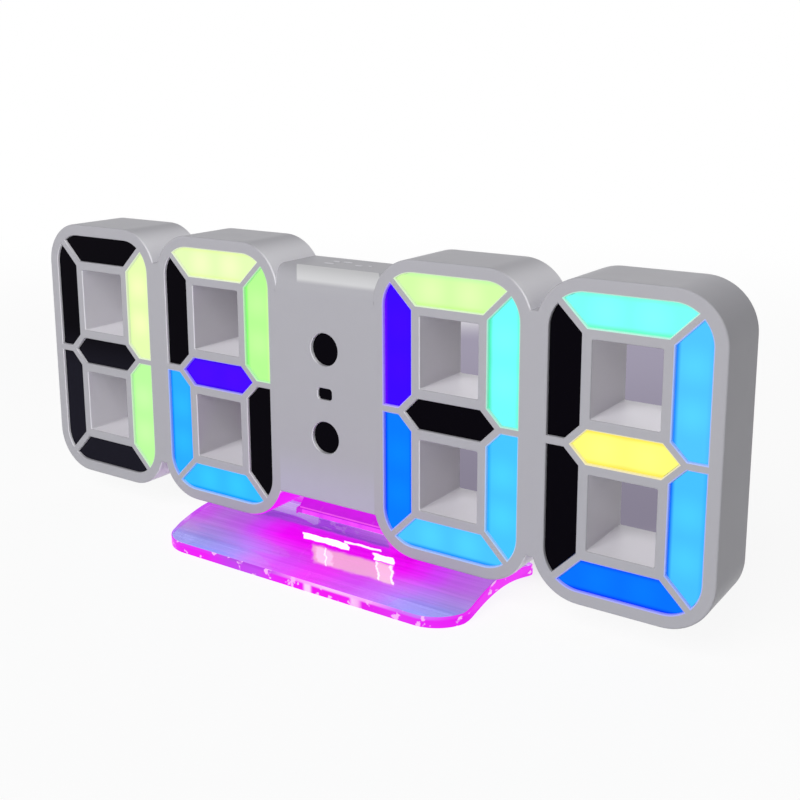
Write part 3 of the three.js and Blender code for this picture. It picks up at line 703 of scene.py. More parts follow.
def lit_material(name, centre, across, reach, low, core, high):
    """Light that runs from one long edge through the core to the other, with two soft hot spots."""
    made = Finish(name, **LIT_SURFACE)
    middle = centre["XZ".index(across)]
    stops = [(-reach, low), (EDGE_GLOW - reach, core), (reach - EDGE_GLOW, core), (reach, high)]
    tone = made.ramp(made.part(across), [(middle + place, hue) for place, hue in stops])
    near = []
    for along in (-LED_SPACING / 2, LED_SPACING / 2):
        shift = (0, along) if across == "X" else (along, 0)
        spot = (centre[0] + shift[0], front_y, centre[1] + shift[1])
        near.append(made.spread(made.step(made.distance(spot), GLOW_REACH, 0), 0, GLOW_SHARE))
    made.set(Emission_Color=tone, Emission_Strength=made.join("ADD", 1, *near))
    return made.grain(LIT_GRAIN).material


def halo_material(name, colour):
    """White plastic with light from the segment beside it in its edge."""
    return uneven(name, tones=WHITE, Emission_Color=colour, Emission_Strength=HALO_STRENGTH, **MATT).material


# Low edge, core and high edge of each lit segment
LIT = {
    "hour_tens": {
        "upper_right": ((225, 255, 170), (233, 255, 178), (233, 255, 178)),
        "lower_right": ((175, 255, 150), (190, 255, 160), (190, 255, 160)),
    },
    "hour_units": {
        "top": ((232, 255, 170), (232, 255, 185), (232, 255, 170)),
        "upper_right": ((130, 255, 110), (185, 255, 150), (215, 255, 160)),
        "middle": ((60, 0, 235), (70, 0, 255), (60, 0, 235)),
        "lower_left": ((0, 120, 255), (40, 175, 255), (0, 150, 255)),
        "bottom": ((0, 150, 255), (50, 190, 255), (50, 190, 255)),
    },
    "minute_tens": {
        "top": ((205, 255, 150), (215, 255, 170), (200, 255, 170)),
        "upper_left": ((110, 10, 255), (60, 0, 255), (50, 0, 255)),
        "upper_right": ((80, 240, 180), (115, 255, 255), (110, 255, 215)),
        "lower_left": ((0, 60, 255), (0, 125, 255), (0, 90, 255)),
        "lower_right": ((40, 170, 255), (70, 200, 255), (70, 200, 255)),
        "bottom": ((20, 140, 255), (75, 200, 255), (75, 200, 255)),
    },
    "minute_units": {
        "top": ((110, 255, 200), (125, 255, 250), (125, 255, 230)),
        "upper_right": ((30, 130, 255), (80, 200, 255), (80, 190, 255)),
        "middle": ((255, 235, 90), (255, 255, 125), (255, 235, 90)),
        "lower_right": ((0, 100, 255), (70, 195, 255), (60, 180, 255)),
        "bottom": ((0, 50, 255), (0, 115, 255), (0, 80, 255)),
    },
}

# The face of a digit: windows, and segments between mitred ribs
field_size = (DIGIT_WIDTH - FACE_SIDE * 2, DIGIT_HEIGHT - FACE_END * 2)
window_width = field_size[0] - (SIDE_SEGMENT_WIDTH + WINDOW_FRAME) * 2
window_height = (field_size[1] - MIDDLE_SEGMENT_HEIGHT) / 2 - END_SEGMENT_HEIGHT - WINDOW_FRAME * 2
window_rise = (window_height + MIDDLE_SEGMENT_HEIGHT) / 2 + WINDOW_FRAME
frame_side = window_width / 2 + WINDOW_FRAME
frame_top = field_size[1] / 2 - END_SEGMENT_HEIGHT
frame_bottom = MIDDLE_SEGMENT_HEIGHT / 2
rib_reach = frame_side + frame_bottom - RIB_SHIFT
field_corner = DIGIT_CORNER - FACE_END


def digit_outline(x, distance=0):
    size = (DIGIT_WIDTH - distance * 2, DIGIT_HEIGHT - distance * 2)
    return rounded_rectangle((x, digit_middle), size, DIGIT_CORNER - distance, CORNER_STEPS)


def window_outlines(x, margin=0):
    size = (window_width + margin * 2, window_height + margin * 2)
    centres = [(x, digit_middle + end * window_rise) for end in (-1, 1)]
    return [rounded_rectangle(centre, size, WINDOW_CORNER) for centre in centres]


def sensor_outline(margin=0):
    size = (SENSOR_WIDTH - margin * 2, SENSOR_HEIGHT - margin * 2)
    return rounded_rectangle(sensor_centre, size, SENSOR_CORNER - margin, SMALL_STEPS * 2)


def segment_outlines(x):
    """The seven segments of a digit, by name."""
    field = rounded_rectangle((x, digit_middle), field_size, field_corner, CORNER_STEPS)
    frames = [(x, digit_middle + end * (frame_top + frame_bottom) / 2) for end in (-1, 1)]
    cuts = [rectangle(centre, (frame_side * 2, frame_top - frame_bottom)) for centre in frames]
    for side in (-1, 1):
        fork = (x + side * rib_reach, digit_middle)
        cuts.append(bar(fork, (x + side * field_size[0] / 2, digit_middle), RIB_WIDTH))
        for end in (-1, 1):
            tip = (x + side * (rib_reach - frame_bottom), digit_middle + end * frame_bottom)
            inner = (x + side * frame_side, digit_middle + end * frame_top)
            outer = (inner[0] + side * field_corner, inner[1] + end * field_corner)
            cuts += [bar(fork, tip, RIB_WIDTH), bar(inner, outer, RIB_WIDTH)]
    named = {}
    for loop in region([field], cuts):
        across, up = centre_of(loop)
        up -= digit_middle
        if abs(across - x) < window_width / 2:
            name = "middle" if abs(up) < window_height / 2 else "top" if up > 0 else "bottom"
        else:
            name = ("upper_" if up > 0 else "lower_") + ("right" if across > x else "left")
        named[name] = loop
    return named


def joined_outlines(distance, panel_end, *more):
    """Digits, webs and panel joined in one plane and drawn in by a distance, with more outlines."""
    web_size = (WEB_REACH * 2, web_height - distance * 2)
    webs = [rectangle((side * web_x, digit_middle), web_size) for side in (-1, 1)]
    panel_size = ((panel_side + WALL * 2) * 2, panel_end - panel_low - distance * 2)
    panel = rectangle((0, (panel_low + panel_end) / 2), panel_size)
    return region([*[digit_outline(x, distance) for x in digit_x], *webs, panel, *more])


segments = {name: segment_outlines(x) for name, x in zip(DIGIT_NAMES, digit_x)}


def build_shell_face():
    """Face with all its openings, the outer walls down to the ledge, and the window sleeves."""
    solid = Solid()
    materials = [shell_plastic(), window_plastic()]
    outside = [*fillet(front_y, EDGE_ROUND), (ledge_y, 0), (ledge_y, WALL), (face_back_y, WALL)]
    mouth = fillet(front_y, OPENING_ROUND)
    opening = [*mouth, (face_back_y, 0)]
    sleeve = [mouth[-1], *fillet_end(back_y, OPENING_ROUND)]
    sleeve += [(back_y, SLEEVE_WALL), (face_back_y, SLEEVE_WALL)]
    rings = [solid.walls(loop, outside) for loop in joined_outlines(0, face_high)]
    for x in digit_x:
        for loop in reverse(window_outlines(x)):
            rings.append((solid.walls(loop, mouth)[0], solid.walls(loop, sleeve, 1)[1]))
    for digit, named in segments.items():
        for name, loop in named.items():
            finish = 0
            if name in LIT[digit]:
                finish = len(materials)
                materials.append(halo_material(f"halo_{digit}_{name}", LIT[digit][name][0]))
            rings.append(solid.walls(loop[::-1], opening, finish))
    small = [*[circle((0, z), COLON_RADIUS) for z in colon_heights.values()], sensor_outline()]
    rings += [solid.walls(loop, opening) for loop in reverse(small)]
    for index, (x, y, z) in enumerate(solid.points):
        if abs(x) < panel_side + EDGE_ROUND * 2 and 0 < face_high - z < EDGE_ROUND * 2:
            solid.points[index] = (x, y, face_high)
            solid.flat[index] = (x, face_high)
    solid.cap([first for first, _ in rings])
    solid.cap([last for _, last in rings])
    solid.piece("shell_face", materials, "white_plastic", "front_shell")


# Paler strip along the rounded edge of the panel
STRIP_START = -0.0130
STRIP_END = 0.0143
STRIP_SLANT = 0.8
STRIP_BACK = 0.0004
STRIP_EDGE = 0.00025
STRIP_FADE_START = 0.0027
STRIP_FADE_END = 0.0041
STRIP_PALE = (212, 212, 214)


def panel_plastic():
    made = uneven("panel_plastic", **MATT)
    across = made.join("ADD", made.part("X"), made.join("MULTIPLY", made.part("Y"), STRIP_SLANT))
    strip = made.mask(
        (across, STRIP_START, STRIP_START + STRIP_EDGE),
        (across, STRIP_END, STRIP_END - STRIP_EDGE),
        (made.part("Y"), STRIP_BACK + STRIP_EDGE, STRIP_BACK),
        (made.part("Z"), panel_top - STRIP_FADE_END, panel_top - STRIP_FADE_START),
    )
    return made.set(Base_Color=made.blend(strip, WHITE[0], STRIP_PALE)).material


def build_panel_top():
    """The rounded top front edge of the panel and its flat top, between the two inner digits."""
    into_frame = panel_side + DIGIT_CORNER + PANEL_INTO_FRAME
    centre = (front_y + PANEL_TOP_ROUND, panel_top - PANEL_TOP_ROUND)
    section = []
    for depth in (0, WALL):
        curve = arc(centre, PANEL_TOP_ROUND - depth, QUARTER * 2, QUARTER, TOP_STEPS)
        half = [(front_y + depth, centre[1] - PANEL_FLAT), *curve, (ledge_y, panel_top - depth)]
        section += half[::-1] if depth else half
    solid = Solid(sideways)
    ends = []
    for side in (-1, 1):
        ring = solid.ring(section, 0)
        for index in ring:
            y, z = solid.flat[index]
            above = max(z - (digit_high - DIGIT_CORNER), 0)
            solid.points[index] = (side * (into_frame - math.sqrt(DIGIT_CORNER**2 - above**2)), y, z)
        for i in range(len(section) // 2 - 1):
            j = len(section) - 1 - i
            solid.face((ring[i], ring[i + 1], ring[j - 1], ring[j]))
        ends.append(ring)
    solid.wall(*ends)
    solid.piece("panel_top", [panel_plastic()], "white_plastic", "front_shell")


def build_marks():
    levels = [(panel_top - MARK_RISE, 0), *fillet_end(panel_top + MARK_RISE, MARK_ROUND)]
    for number, (x, y, width) in enumerate(MARKS):
        loop = rounded_rectangle((x, y), (width, MARK_HEIGHT), MARK_HEIGHT / 2 - MARK_ROUND)
        Solid(level).plate([loop], levels).piece(f"panel_mark_{number + 1}", [mark_plastic], "white_plastic")


def build_shell_rim():
    """The rim round the rear cover, one closed band."""
    dock_high = panel_low + WALL
    dock = rectangle((0, (bar_low.z + dock_high) / 2), (DOCK_WIDTH, dock_high - bar_low.z))
    levels = [(ledge_y, 0), *fillet_end(back_y, RIM_ROUND), (back_y, RIM_WALL), (ledge_y, RIM_WALL)]
    solid = Solid()
    for loop in joined_outlines(0, panel_top, dock):
        first, last = solid.walls(loop, levels)
        solid.wall(last, first)
    solid.piece("shell_rim", [shell_plastic()], "white_plastic", "front_shell")


def build_segments():
    segment_y = front_y + PANE_SETBACK
    levels = [*fillet(segment_y, SEGMENT_ROUND), (segment_y + SEGMENT_DEPTH, 0)]
    for digit, named in segments.items():
        for name, loop in named.items():
            material = smoked_plastic
            if name in LIT[digit]:
                tall = "left" in name or "right" in name
                reach = (SIDE_SEGMENT_WIDTH if tall else END_SEGMENT_HEIGHT) / 2
                light = (centre_of(loop), "X" if tall else "Z", reach, *LIT[digit][name])
                material = lit_material(f"lit_{digit}_{name}", *light)
            solid = Solid().plate([inset(loop, PANE_FIT)], levels)
            solid.piece(f"segment_{digit}_{name}", [material], "smoked_plastic", f"lens_{digit}")


def build_colon():
    """The two colon panes and the sensor pane, set back in their openings."""
    panes = {}
    for name, z in colon_heights.items():
        loop = circle((0, z), COLON_RADIUS - PANE_FIT)
        panes[f"colon_{name}"] = (f"colon_lens_{name}", loop, PANE_SETBACK, COLON_ROUND)
    panes["sensor_pane"] = ("sensor_window", sensor_outline(PANE_FIT), SENSOR_SETBACK, OPENING_ROUND)
    for name, (node, loop, setback, edge) in panes.items():
        levels = [*fillet(front_y + setback, edge), (face_back_y + FACE_THICKNESS / 2, 0)]
        Solid().plate([loop], levels).piece(name, [smoked_plastic], "smoked_plastic", node)


# The dock leans forward below the panel and ends in a lip over the light bar
dock_lip = Vector((bar_low.y, bar_low.z + DOCK_LIP))
dock_flare = dock_lip + Vector((DOCK_FLARE_REACH, DOCK_FLARE_RISE))
dock_along = (dock_flare - dock_lip).normalized()
dock_inwards = Vector((dock_along.y, -dock_along.x))
bar_front = dock_lip + dock_along * ((bar_high.z - dock_lip.y) / dock_along.y)
SECTION_PLAIN, SECTION_GLOW, SECTION_GROOVE, SECTION_EDGES, SECTION_SIDES = range(5)

# Light in the dock: its tone by the share of the height, and its strength
DOCK_LIGHT_SHARES = {
    "dock_glow": (
        ((0, (206, 10, 226)), (0.45, (228, 10, 247)), (0.75, (206, 66, 236)), (1, (186, 98, 220))),
        0.9,
    ),
    "dock_groove": (((0, (252, 90, 244)), (1, (252, 90, 244))), 0.9),
    "dock_edges": (((0, (214, 40, 230)), (1, (214, 60, 232))), 0.9),
    "dock_sides": (((0, (255, 40, 250)), (1, (255, 40, 250))), 9),
}
GLOW_LOW_SHARE = 0.75
GLOW_BASE = ((96, 40, 110), (104, 46, 118))
GLOW_PATCHES = 300
GLOW_STRETCH = (1, 1, 4)


def glow_plastic(name, stops, strength):
    """White plastic with the light of the bar in it: a tone for each height, a little uneven."""
    made = uneven(name, tones=GLOW_BASE, Emission_Strength=strength, **MATT)
    height = panel_low - dock_lip.y
    tone = made.ramp(made.part("Z"), [(dock_lip.y + share * height, colour) for share, colour in stops])
    patches = made.spread(made.noise(GLOW_PATCHES, stretch=GLOW_STRETCH), GLOW_LOW_SHARE, 1)
    return made.set(Emission_Color=made.blend(1, tone, patches, "MULTIPLY")).material


def dock_section():
    """The section in Y and Z, and the finish of the edge that starts at each of its points."""
    top = panel_low + WALL / 2
    lean_y = dock_flare.x + DOCK_LEAN
    groove_start, groove_end = (bar_front + dock_along * reach for reach in DOCK_GROOVE)
    deep = dock_inwards * DOCK_GROOVE_DEPTH
    return zip(
        (bar_front, SECTION_PLAIN),
        (bar_high.yz, SECTION_PLAIN),
        ((bar_high.y, bar_low.z), SECTION_PLAIN),
        ((ledge_y, bar_low.z), SECTION_PLAIN),
        ((ledge_y, top), SECTION_PLAIN),
        ((lean_y, top), SECTION_PLAIN),
        ((lean_y, panel_low), SECTION_GLOW),
        (dock_flare, SECTION_GLOW),
        (groove_end, SECTION_GROOVE),
        (groove_end + deep, SECTION_GROOVE),
        (groove_start + deep, SECTION_GROOVE),
        (groove_start, SECTION_GLOW),
    )


def build_dock():
    glowing = [glow_plastic(name, *light) for name, light in DOCK_LIGHT_SHARES.items()]
    right = ((DOCK_WIDTH / 2 - DOCK_END_ROUND, 0), (DOCK_WIDTH / 2, DOCK_END_ROUND))
    left = [(-depth, distance) for depth, distance in right[::-1]]
    section, finishes = dock_section()
    solid = Solid(sideways)
    rings = [solid.ring(inset(section, distance), depth) for depth, distance in (*left, *right)]
    for near, far, finish in zip(rings, rings[1:], (SECTION_EDGES, list(finishes), SECTION_EDGES)):
        solid.wall(near, far, finish)
    for ring in (rings[0], rings[-1]):
        solid.cap([ring], SECTION_SIDES)
    solid.piece("dock", [white_plastic, *glowing], "white_plastic", "front_shell")
    closing = [bar_front, bar_high.yz, (bar_high.y, bar_low.z), bar_low.yz, dock_lip]
    start = bar_front + dock_along * DOCK_GROOVE[1]
    end = start + dock_along * DOCK_RIB_LENGTH
    proud = dock_inwards * DOCK_RIB_PROUD
    rib = [start + proud, end + proud, end, start - proud]
    rib_side = DOCK_RIB_WIDTH / 2
    parts = {
        "end": (closing, [(bar_high.x, 0), *right]),
        "rib": (rib, [(DOCK_RIB_PLACE - rib_side, 0), (DOCK_RIB_PLACE + rib_side, 0)]),
    }
    for part, (loop, reaches) in parts.items():
        for name, side in (("left", -1), ("right", 1)):
            solid = Solid(sideways).plate([loop], [(depth * side, distance) for depth, distance in reaches])
            solid.piece(f"dock_{part}_{name}", [glowing[SECTION_EDGES - 1]], "white_plastic", "front_shell")


# Light bar: it shines down into the neck of the stand
BAR_SURFACE = {"Base_Color": (120, 40, 130), "Roughness": 0.4, "Specular_IOR_Level": 0.15}
BAR_TONES = ((198, 20, 226), (238, 84, 255))
BAR_TURN = 0.5
BAR_SIDE_LIGHT = 1
BAR_LIGHT = 1.4


def bar_material():
    made = Finish("lit_bar", **BAR_SURFACE)
    made.set(Emission_Strength=made.spread(made.facing("Z"), BAR_SIDE_LIGHT, BAR_LIGHT, -BAR_TURN, -1))
    return made.set(Emission_Color=made.blend(made.noise(GLOW_PATCHES), *BAR_TONES)).material


# Light in the stand: distances to the sides of the neck with their colours, in front and behind
GLOW_MIDDLE = 0.0045
ACRYLIC_SURFACE = {"Transmission_Weight": 1, "IOR": 1.36}
ACRYLIC_ROUGH = (0.015, 0.05)
ACRYLIC_GLOW = 0.6
ACRYLIC_CLEAR = (196, 196, 196)
ACRYLIC_TURN = (-0.0135, -0.005)
ACRYLIC_FRONT = (
    (0, (249, 59, 254)),
    (0.012, (223, 83, 250)),
    (0.017, (217, 106, 254)),
    (0.022, (211, 121, 255)),
    (0.027, (202, 134, 252)),
    (0.032, (186, 139, 241)),
    (0.040, (173, 142, 224)),
    (0.050, (186, 152, 226)),
)
ACRYLIC_BACK = (
    (0, (252, 10, 252)),
    (0.020, (253, 10, 255)),
    (0.025, (239, 42, 255)),
    (0.030, (220, 72, 255)),
    (0.036, (199, 103, 236)),
    (0.044, (194, 120, 231)),
    (0.050, (206, 96, 238)),
)

# Fine streaks across the stand, and the bluish tone near its front corners
STREAK_SCALE = 1500
STREAK_STRETCH = (0.03, 1, 0.2)
STREAK_DETAIL = 1
STREAK_DARK = (205, 198, 214)
BLUE_SHARE = 0.4
BLUE_FRONT = (-0.0120, -0.0160)
BLUE_SIDE = (0.0190, 0.0290)
BLUE_TONE = (96, 160, 255)

# Slant and waves of what shows in the stand, and the dim band behind the light of the bar
GLOW_SLANT = 0.79
WAVE_SCALES = (190, 380)
WAVE_DETAIL = 3
WAVE_REACH = 0.0011
DIM_LIMITS = ((-0.0320, 0.0180), (0.0010, 0.0300))
DIM_SOFT = 0.0016
DIM_TONES = ((122, 52, 188), (190, 92, 240))
DIM_STREAKS = 2600

# Painted reflections of the lit bar in the stand: limits along the slant and in Y, soft edge, colour, extra
# strength
PAINTED_BAR_REFLECTIONS = (
    (((-0.0100, 0.0180), (-0.0124, -0.0050)), 0.0014, (214, 180, 166), 0.2),
    (((-0.0085, -0.0018), (-0.0118, -0.0056)), 0.0010, (206, 190, 180), 0.3),
    (((-0.0052, -0.0042), (-0.0120, -0.0054)), 0.0004, (225, 210, 200), 0.4),
    (((0.0118, 0.0176), (-0.0118, -0.0050)), 0.0006, (200, 180, 160), 0.3),
    (((0.0120, 0.0130), (-0.0118, -0.0050)), 0.0004, (225, 210, 200), 0.4),
    (((0.0164, 0.0176), (-0.0118, -0.0050)), 0.0004, (225, 210, 200), 0.4),
    (((-0.0125, 0.0034), (-0.0044, -0.0012)), 0.0005, (255, 236, 255), 1),
    (((0.0020, 0.0140), (-0.0014, 0.0000)), 0.0004, (255, 220, 255), 0.8),
    (((0.0110, 0.0180), (-0.0052, -0.0020)), 0.0006, (255, 232, 255), 1),
)


def acrylic_material():
    """Clear acrylic that glows magenta near the neck, with painted reflections of the lit bar in it."""
    made = Finish("clear_acrylic", **ACRYLIC_SURFACE).rough(*ACRYLIC_ROUGH)
    away = made.aside(GLOW_MIDDLE)
    towards_back = made.step(made.part("Y"), *ACRYLIC_TURN)
    tone = made.blend(towards_back, made.ramp(away, ACRYLIC_FRONT), made.ramp(away, ACRYLIC_BACK))
    blue = made.join("MULTIPLY", made.mask((away, *BLUE_SIDE), (made.part("Y"), *BLUE_FRONT)), BLUE_SHARE)
    tone = made.blend(blue, tone, BLUE_TONE)
    waves = [made.spread(made.noise(scale, WAVE_DETAIL), -WAVE_REACH, WAVE_REACH) for scale in WAVE_SCALES]
    along = made.join("ADD", made.part("Y"), waves[0])
    slant = made.join("ADD", made.part("X"), made.join("MULTIPLY", along, GLOW_SLANT), waves[1])
    dim = made.blend(made.noise(DIM_STREAKS, STREAK_DETAIL, STREAK_STRETCH), *DIM_TONES)
    tone = made.blend(made.patch(slant, along, DIM_LIMITS, DIM_SOFT), tone, dim)
    streaks = made.blend(made.noise(STREAK_SCALE, stretch=STREAK_STRETCH), STREAK_DARK, PURE_WHITE)
    tone = made.blend(1, tone, streaks, "MULTIPLY")
    made.set(Base_Color=made.blend(1, tone, ACRYLIC_CLEAR, "MULTIPLY"))
    strength = [ACRYLIC_GLOW]
    # Painted reflections of the lit bar, as bright emissive patches
    for limits, soft, hue, extra in PAINTED_BAR_REFLECTIONS:
        mask = made.patch(slant, along, limits, soft)
        tone = made.blend(mask, tone, hue)
        strength.append(made.join("MULTIPLY", mask, extra))
    glow = made.join("MULTIPLY", made.join("ADD", *strength), made.outside())
    return made.set(Emission_Color=tone, Emission_Strength=glow).material


# Light in the rim of the stand: a tone for each place in X, below and above a line, and glints
RIM_SURFACE = {
    "Transmission_Weight": 0.1,
    "IOR": 1.36,
    "Specular_IOR_Level": 0.1,
    "Base_Color": (90, 3, 92),
}
RIM_ROUGH = (0.04, 0.12)
RIM_GLOW = 0.85
RIM_INSIDE = 0.7
RIM_LOW = (
    (-0.0495, (232, 40, 246)),
    (-0.03, (246, 8, 252)),
    (-0.022, (200, 62, 244)),
    (-0.012, (196, 80, 246)),
    (-0.005, (240, 30, 255)),
    (0.0045, (249, 0, 252)),
    (0.0052, (255, 226, 255)),
    (0.0068, (255, 226, 255)),
    (0.0075, (245, 0, 246)),
    (0.0195, (247, 20, 247)),
    (0.0203, (255, 214, 255)),
    (0.0222, (255, 190, 250)),
    (0.0235, (235, 20, 240)),
    (0.034, (232, 52, 248)),
    (0.0495, (240, 20, 252)),
)
RIM_HIGH = (
    (-0.0495, (220, 60, 246)),
    (-0.03, (236, 48, 252)),
    (-0.02, (176, 80, 228)),
    (-0.008, (190, 64, 240)),
    (0.001, (255, 150, 255)),
    (0.012, (255, 215, 255)),
    (0.026, (255, 175, 255)),
    (0.034, (220, 118, 255)),
    (0.04, (196, 130, 252)),
    (0.046, (236, 70, 255)),
    (0.0495, (246, 40, 255)),
)
RIM_LINE = (0.0019, 0.0026)
GLINT_SCALE = 420
GLINT_DETAIL = 3
GLINT_STRETCH = (1, 0.4, 1)
GLINT_RANGE = (0.585, 0.64)
GLINT_TONE = (255, 196, 255)


def edge_material():
    """The rim of the acrylic, where the light that runs inside it comes out."""
    made = Finish("acrylic_edge", **RIM_SURFACE).rough(*RIM_ROUGH)
    low, high = (made.ramp(made.part("X"), stops, "LINEAR") for stops in (RIM_LOW, RIM_HIGH))
    tone = made.blend(made.step(made.part("Z"), *RIM_LINE), low, high)
    glints = made.step(made.noise(GLINT_SCALE, GLINT_DETAIL, GLINT_STRETCH), *GLINT_RANGE)
    made.set(Emission_Strength=made.spread(made.outside(), RIM_INSIDE, RIM_GLOW))
    return made.set(Emission_Color=made.blend(glints, tone, GLINT_TONE)).material


def arch_at(y, base, rise):
    share = (y - ARCH_OFFSET) / (ARCH_SPAN / 2)
    return base + rise * max(1 - share * share, 0) ** ARCH_FULLNESS


def bend(work):
    """Cuts the flat plate across the arch and lifts it into shape."""
    for step in range(ARCH_CUTS + 1):
        y = ARCH_OFFSET + ARCH_SPAN * (step / ARCH_CUTS - 1 / 2)
        parts = work.verts[:] + work.edges[:] + work.faces[:]
        bmesh.ops.bisect_plane(work, geom=parts, plane_co=(0, y, 0), plane_no=(0, 1, 0), dist=MERGE_LIMIT)
    for vertex in work.verts:
        share = vertex.co.z / STAND_THICKNESS
        low = arch_at(vertex.co.y, 0, ARCH_RISE)
        high = arch_at(vertex.co.y, STAND_THICKNESS, ARCH_RISE + STAND_CREST - STAND_THICKNESS)
        vertex.co.z = low + (high - low) * share


def build_stand():
    """A rounded plate with an arch across it, and a neck that plugs into the dock."""
    low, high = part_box("stand")
    corners = (
        (high.x, high.y, STAND_BACK_CORNER),
        (low.x, high.y, STAND_BACK_CORNER),
        (low.x, low.y, STAND_CORNER),
        (high.x, low.y, STAND_CORNER),
    )
    plan = []
    for quarter, (x, y, radius) in enumerate(corners):
        centre = (x - math.copysign(radius, x), y - math.copysign(radius, y))
        plan += arc(centre, radius, quarter * QUARTER, (quarter + 1) * QUARTER, CORNER_STEPS)
    solid = Solid(level).plate([plan], [*fillet(0, STAND_ROUND), *fillet_end(STAND_THICKNESS, STAND_ROUND)])
    materials = [acrylic_material(), edge_material()]
    plate = solid.piece("stand_plate", materials, "clear_acrylic", "stand", shape=bend)
    for face in plate.data.polygons:
        face.material_index = 1 if abs(face.normal.z) < RIM_SLOPE else 0
    neck_y = (low.y + high.y) / 2 + TONGUE_OFFSET
    widths = (TONGUE_WIDTH + NECK_SHOULDER * 2, TONGUE_WIDTH)
    heights = (STAND_THICKNESS + ARCH_RISE, bar_low.z - TONGUE_GAP, high.z)
    for name, width, start, end in zip(("shoulder", "tongue"), widths, heights, heights[1:]):
        loop = rounded_rectangle((0, neck_y), (width, TONGUE_THICKNESS), TONGUE_ROUND)
        solid = Solid(level).plate([loop], [(start, 0), (end, 0)])
        solid.piece(f"stand_{name}", [materials[1]], "clear_acrylic", "stand")


# Rear side: cover, screws, buttons and the door of the coin cell
door_centre = (0, (door_low.z + door_high.z) / 2)
door_radius = (door_high.z - door_low.z) / 2
screws = [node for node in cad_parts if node.startswith("cover_screw")]
head_radius = (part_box(screws[0])[1].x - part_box(screws[0])[0].x) / 2


def cover_holes():
    holes = [loop for x in digit_x for loop in window_outlines(x, SLEEVE_WALL + HOLE_GAP)]
    holes += [circle(middle_of(node), head_radius + HOLE_GAP) for node in screws]
    holes += [circle(middle_of(f"button_{name}"), BUTTON_RADIUS + HOLE_GAP) for name in BUTTON_NAMES]
    turns = (-DOOR_NOTCH_TURN, QUARTER * 2 - DOOR_NOTCH_TURN)
    reach = door_radius + DOOR_LUG_REACH + HOLE_GAP
    notches = [sector(door_centre, reach, turn, DOOR_LUG_TURN) for turn in turns]
    holes += region([circle(door_centre, door_radius + HOLE_GAP), *notches])
    low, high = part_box("power_socket")
    size = (high.x - low.x + HOLE_GAP * 2, high.z - low.z + HOLE_GAP * 2)
    holes.append(rounded_rectangle(middle_of("power_socket"), size, SOCKET_CORNER + HOLE_GAP))
    ring = arc(SOUND_CENTRE, SOUND_RING, 0, QUARTER * 4, SOUND_COUNT)[:-1]
    holes += [circle(centre, SOUND_RADIUS, ROUND_COUNT // 2) for centre in ring]
    z = digit_high - KEYHOLE_DROP
    slot_size = (KEYHOLE_SLOT * 2, KEYHOLE_TRAVEL + KEYHOLE_SLOT)
    for x in (digit_x[0], digit_x[-1]):
        slot = rounded_rectangle((x, z + slot_size[1] / 2), slot_size, KEYHOLE_SLOT - HOLE_GAP)
        holes += region([circle((x, z), KEYHOLE_RADIUS), slot])
    return holes


def build_cover():
    tail_low, tail_high = cover_low.z, panel_low + WALL * 2
    tail = rectangle((0, (tail_low + tail_high) / 2), (DOCK_WIDTH - COVER_INSET * 2, tail_high - tail_low))
    levels = [(back_y - COVER_THICKNESS, 0), *fillet_end(back_y, COVER_ROUND)]
    solid = Solid().plate([*joined_outlines(COVER_INSET, panel_top, tail), *reverse(cover_holes())], levels)
    solid.piece("rear_plate", [white_plastic], "white_plastic", "rear_cover")


def build_screws():
    levels = [(back_y - SCREW_HEAD, 0), *fillet_end(back_y, SCREW_ROUND)]
    for node in screws:
        centre = middle_of(node)
        sizes = ((CROSS_LENGTH, CROSS_WIDTH), (CROSS_WIDTH, CROSS_LENGTH))
        cross = region([rectangle(centre, size) for size in sizes])[0]
        solid = Solid().recess(circle(centre, head_radius), levels, cross, CROSS_DEPTH)
        solid.piece(f"{node}_head", [steel], "steel", node)


def build_buttons():
    for name in BUTTON_NAMES:
        node = f"button_{name}"
        low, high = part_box(node)
        flange_y = low.y + BUTTON_FLANGE
        flange = circle(middle_of(node), (high.x - low.x) / 2)
        solid = Solid().plate([flange], [(low.y, 0), (flange_y, 0)])
        levels = [(flange_y, 0), *fillet_end(high.y, BUTTON_ROUND)]
        solid.plate([circle(middle_of(node), BUTTON_RADIUS)], levels)
        solid.piece(f"{name}_cap", [white_plastic], "white_plastic", node, body=f"{name}_button")


def build_door():
    slot = rounded_rectangle(door_centre, (SLOT_LENGTH, SLOT_WIDTH), SLOT_WIDTH / 2 - SLOT_ROUND)
    levels = [(door_low.y, 0), *fillet_end(back_y, DOOR_ROUND)]
    outline = circle(door_centre, door_radius, ROUND_COUNT * 2)
    solid = Solid().recess(outline, levels, slot, SLOT_DEPTH, SLOT_ROUND)
    for turn in (0, QUARTER * 2):
        lug = sector(door_centre, door_radius + DOOR_LUG_REACH, turn, DOOR_LUG_TURN)
        solid.plate([lug], [(door_low.y, 0), (door_low.y + DOOR_LUG_THICKNESS, 0)])
    solid.piece("cell_lid", [white_plastic], "white_plastic", "cell_door", body="battery_door")


build_shell_face()
build_panel_top()
build_marks()
build_shell_rim()
build_segments()
build_colon()
build_dock()
build_stand()
build_cover()
build_screws()
build_buttons()
build_door()

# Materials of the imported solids, by how the nodes' names begin; black plastic for the rest
NODE_MATERIALS = (
    (steel, ("cover_screw", "board_screw", "coin_cell", "cell_contact", "power_socket", "timing_crystal")),
    (inner_plastic, ("baffle", "colon_baffle")),
    (circuit_board, ("main_board", "night_board")),
    (white_plastic, ("button", "rear_cover", "cell_door")),
    (bar_material(), ("light_bar",)),
    (black_plastic, ("",)),
)
for node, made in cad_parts.items():
    made.data.materials.clear()
    fitting = [material for material, starts in NODE_MATERIALS if node.startswith(starts)]
    made.data.materials.append(fitting[0])


# Floor: white, and seen as pure white far away
FLOOR_SIZE = 6
FLOOR_NEAR_SHARE = 0.9
FLOOR_FADE = (0.25, 0.7)

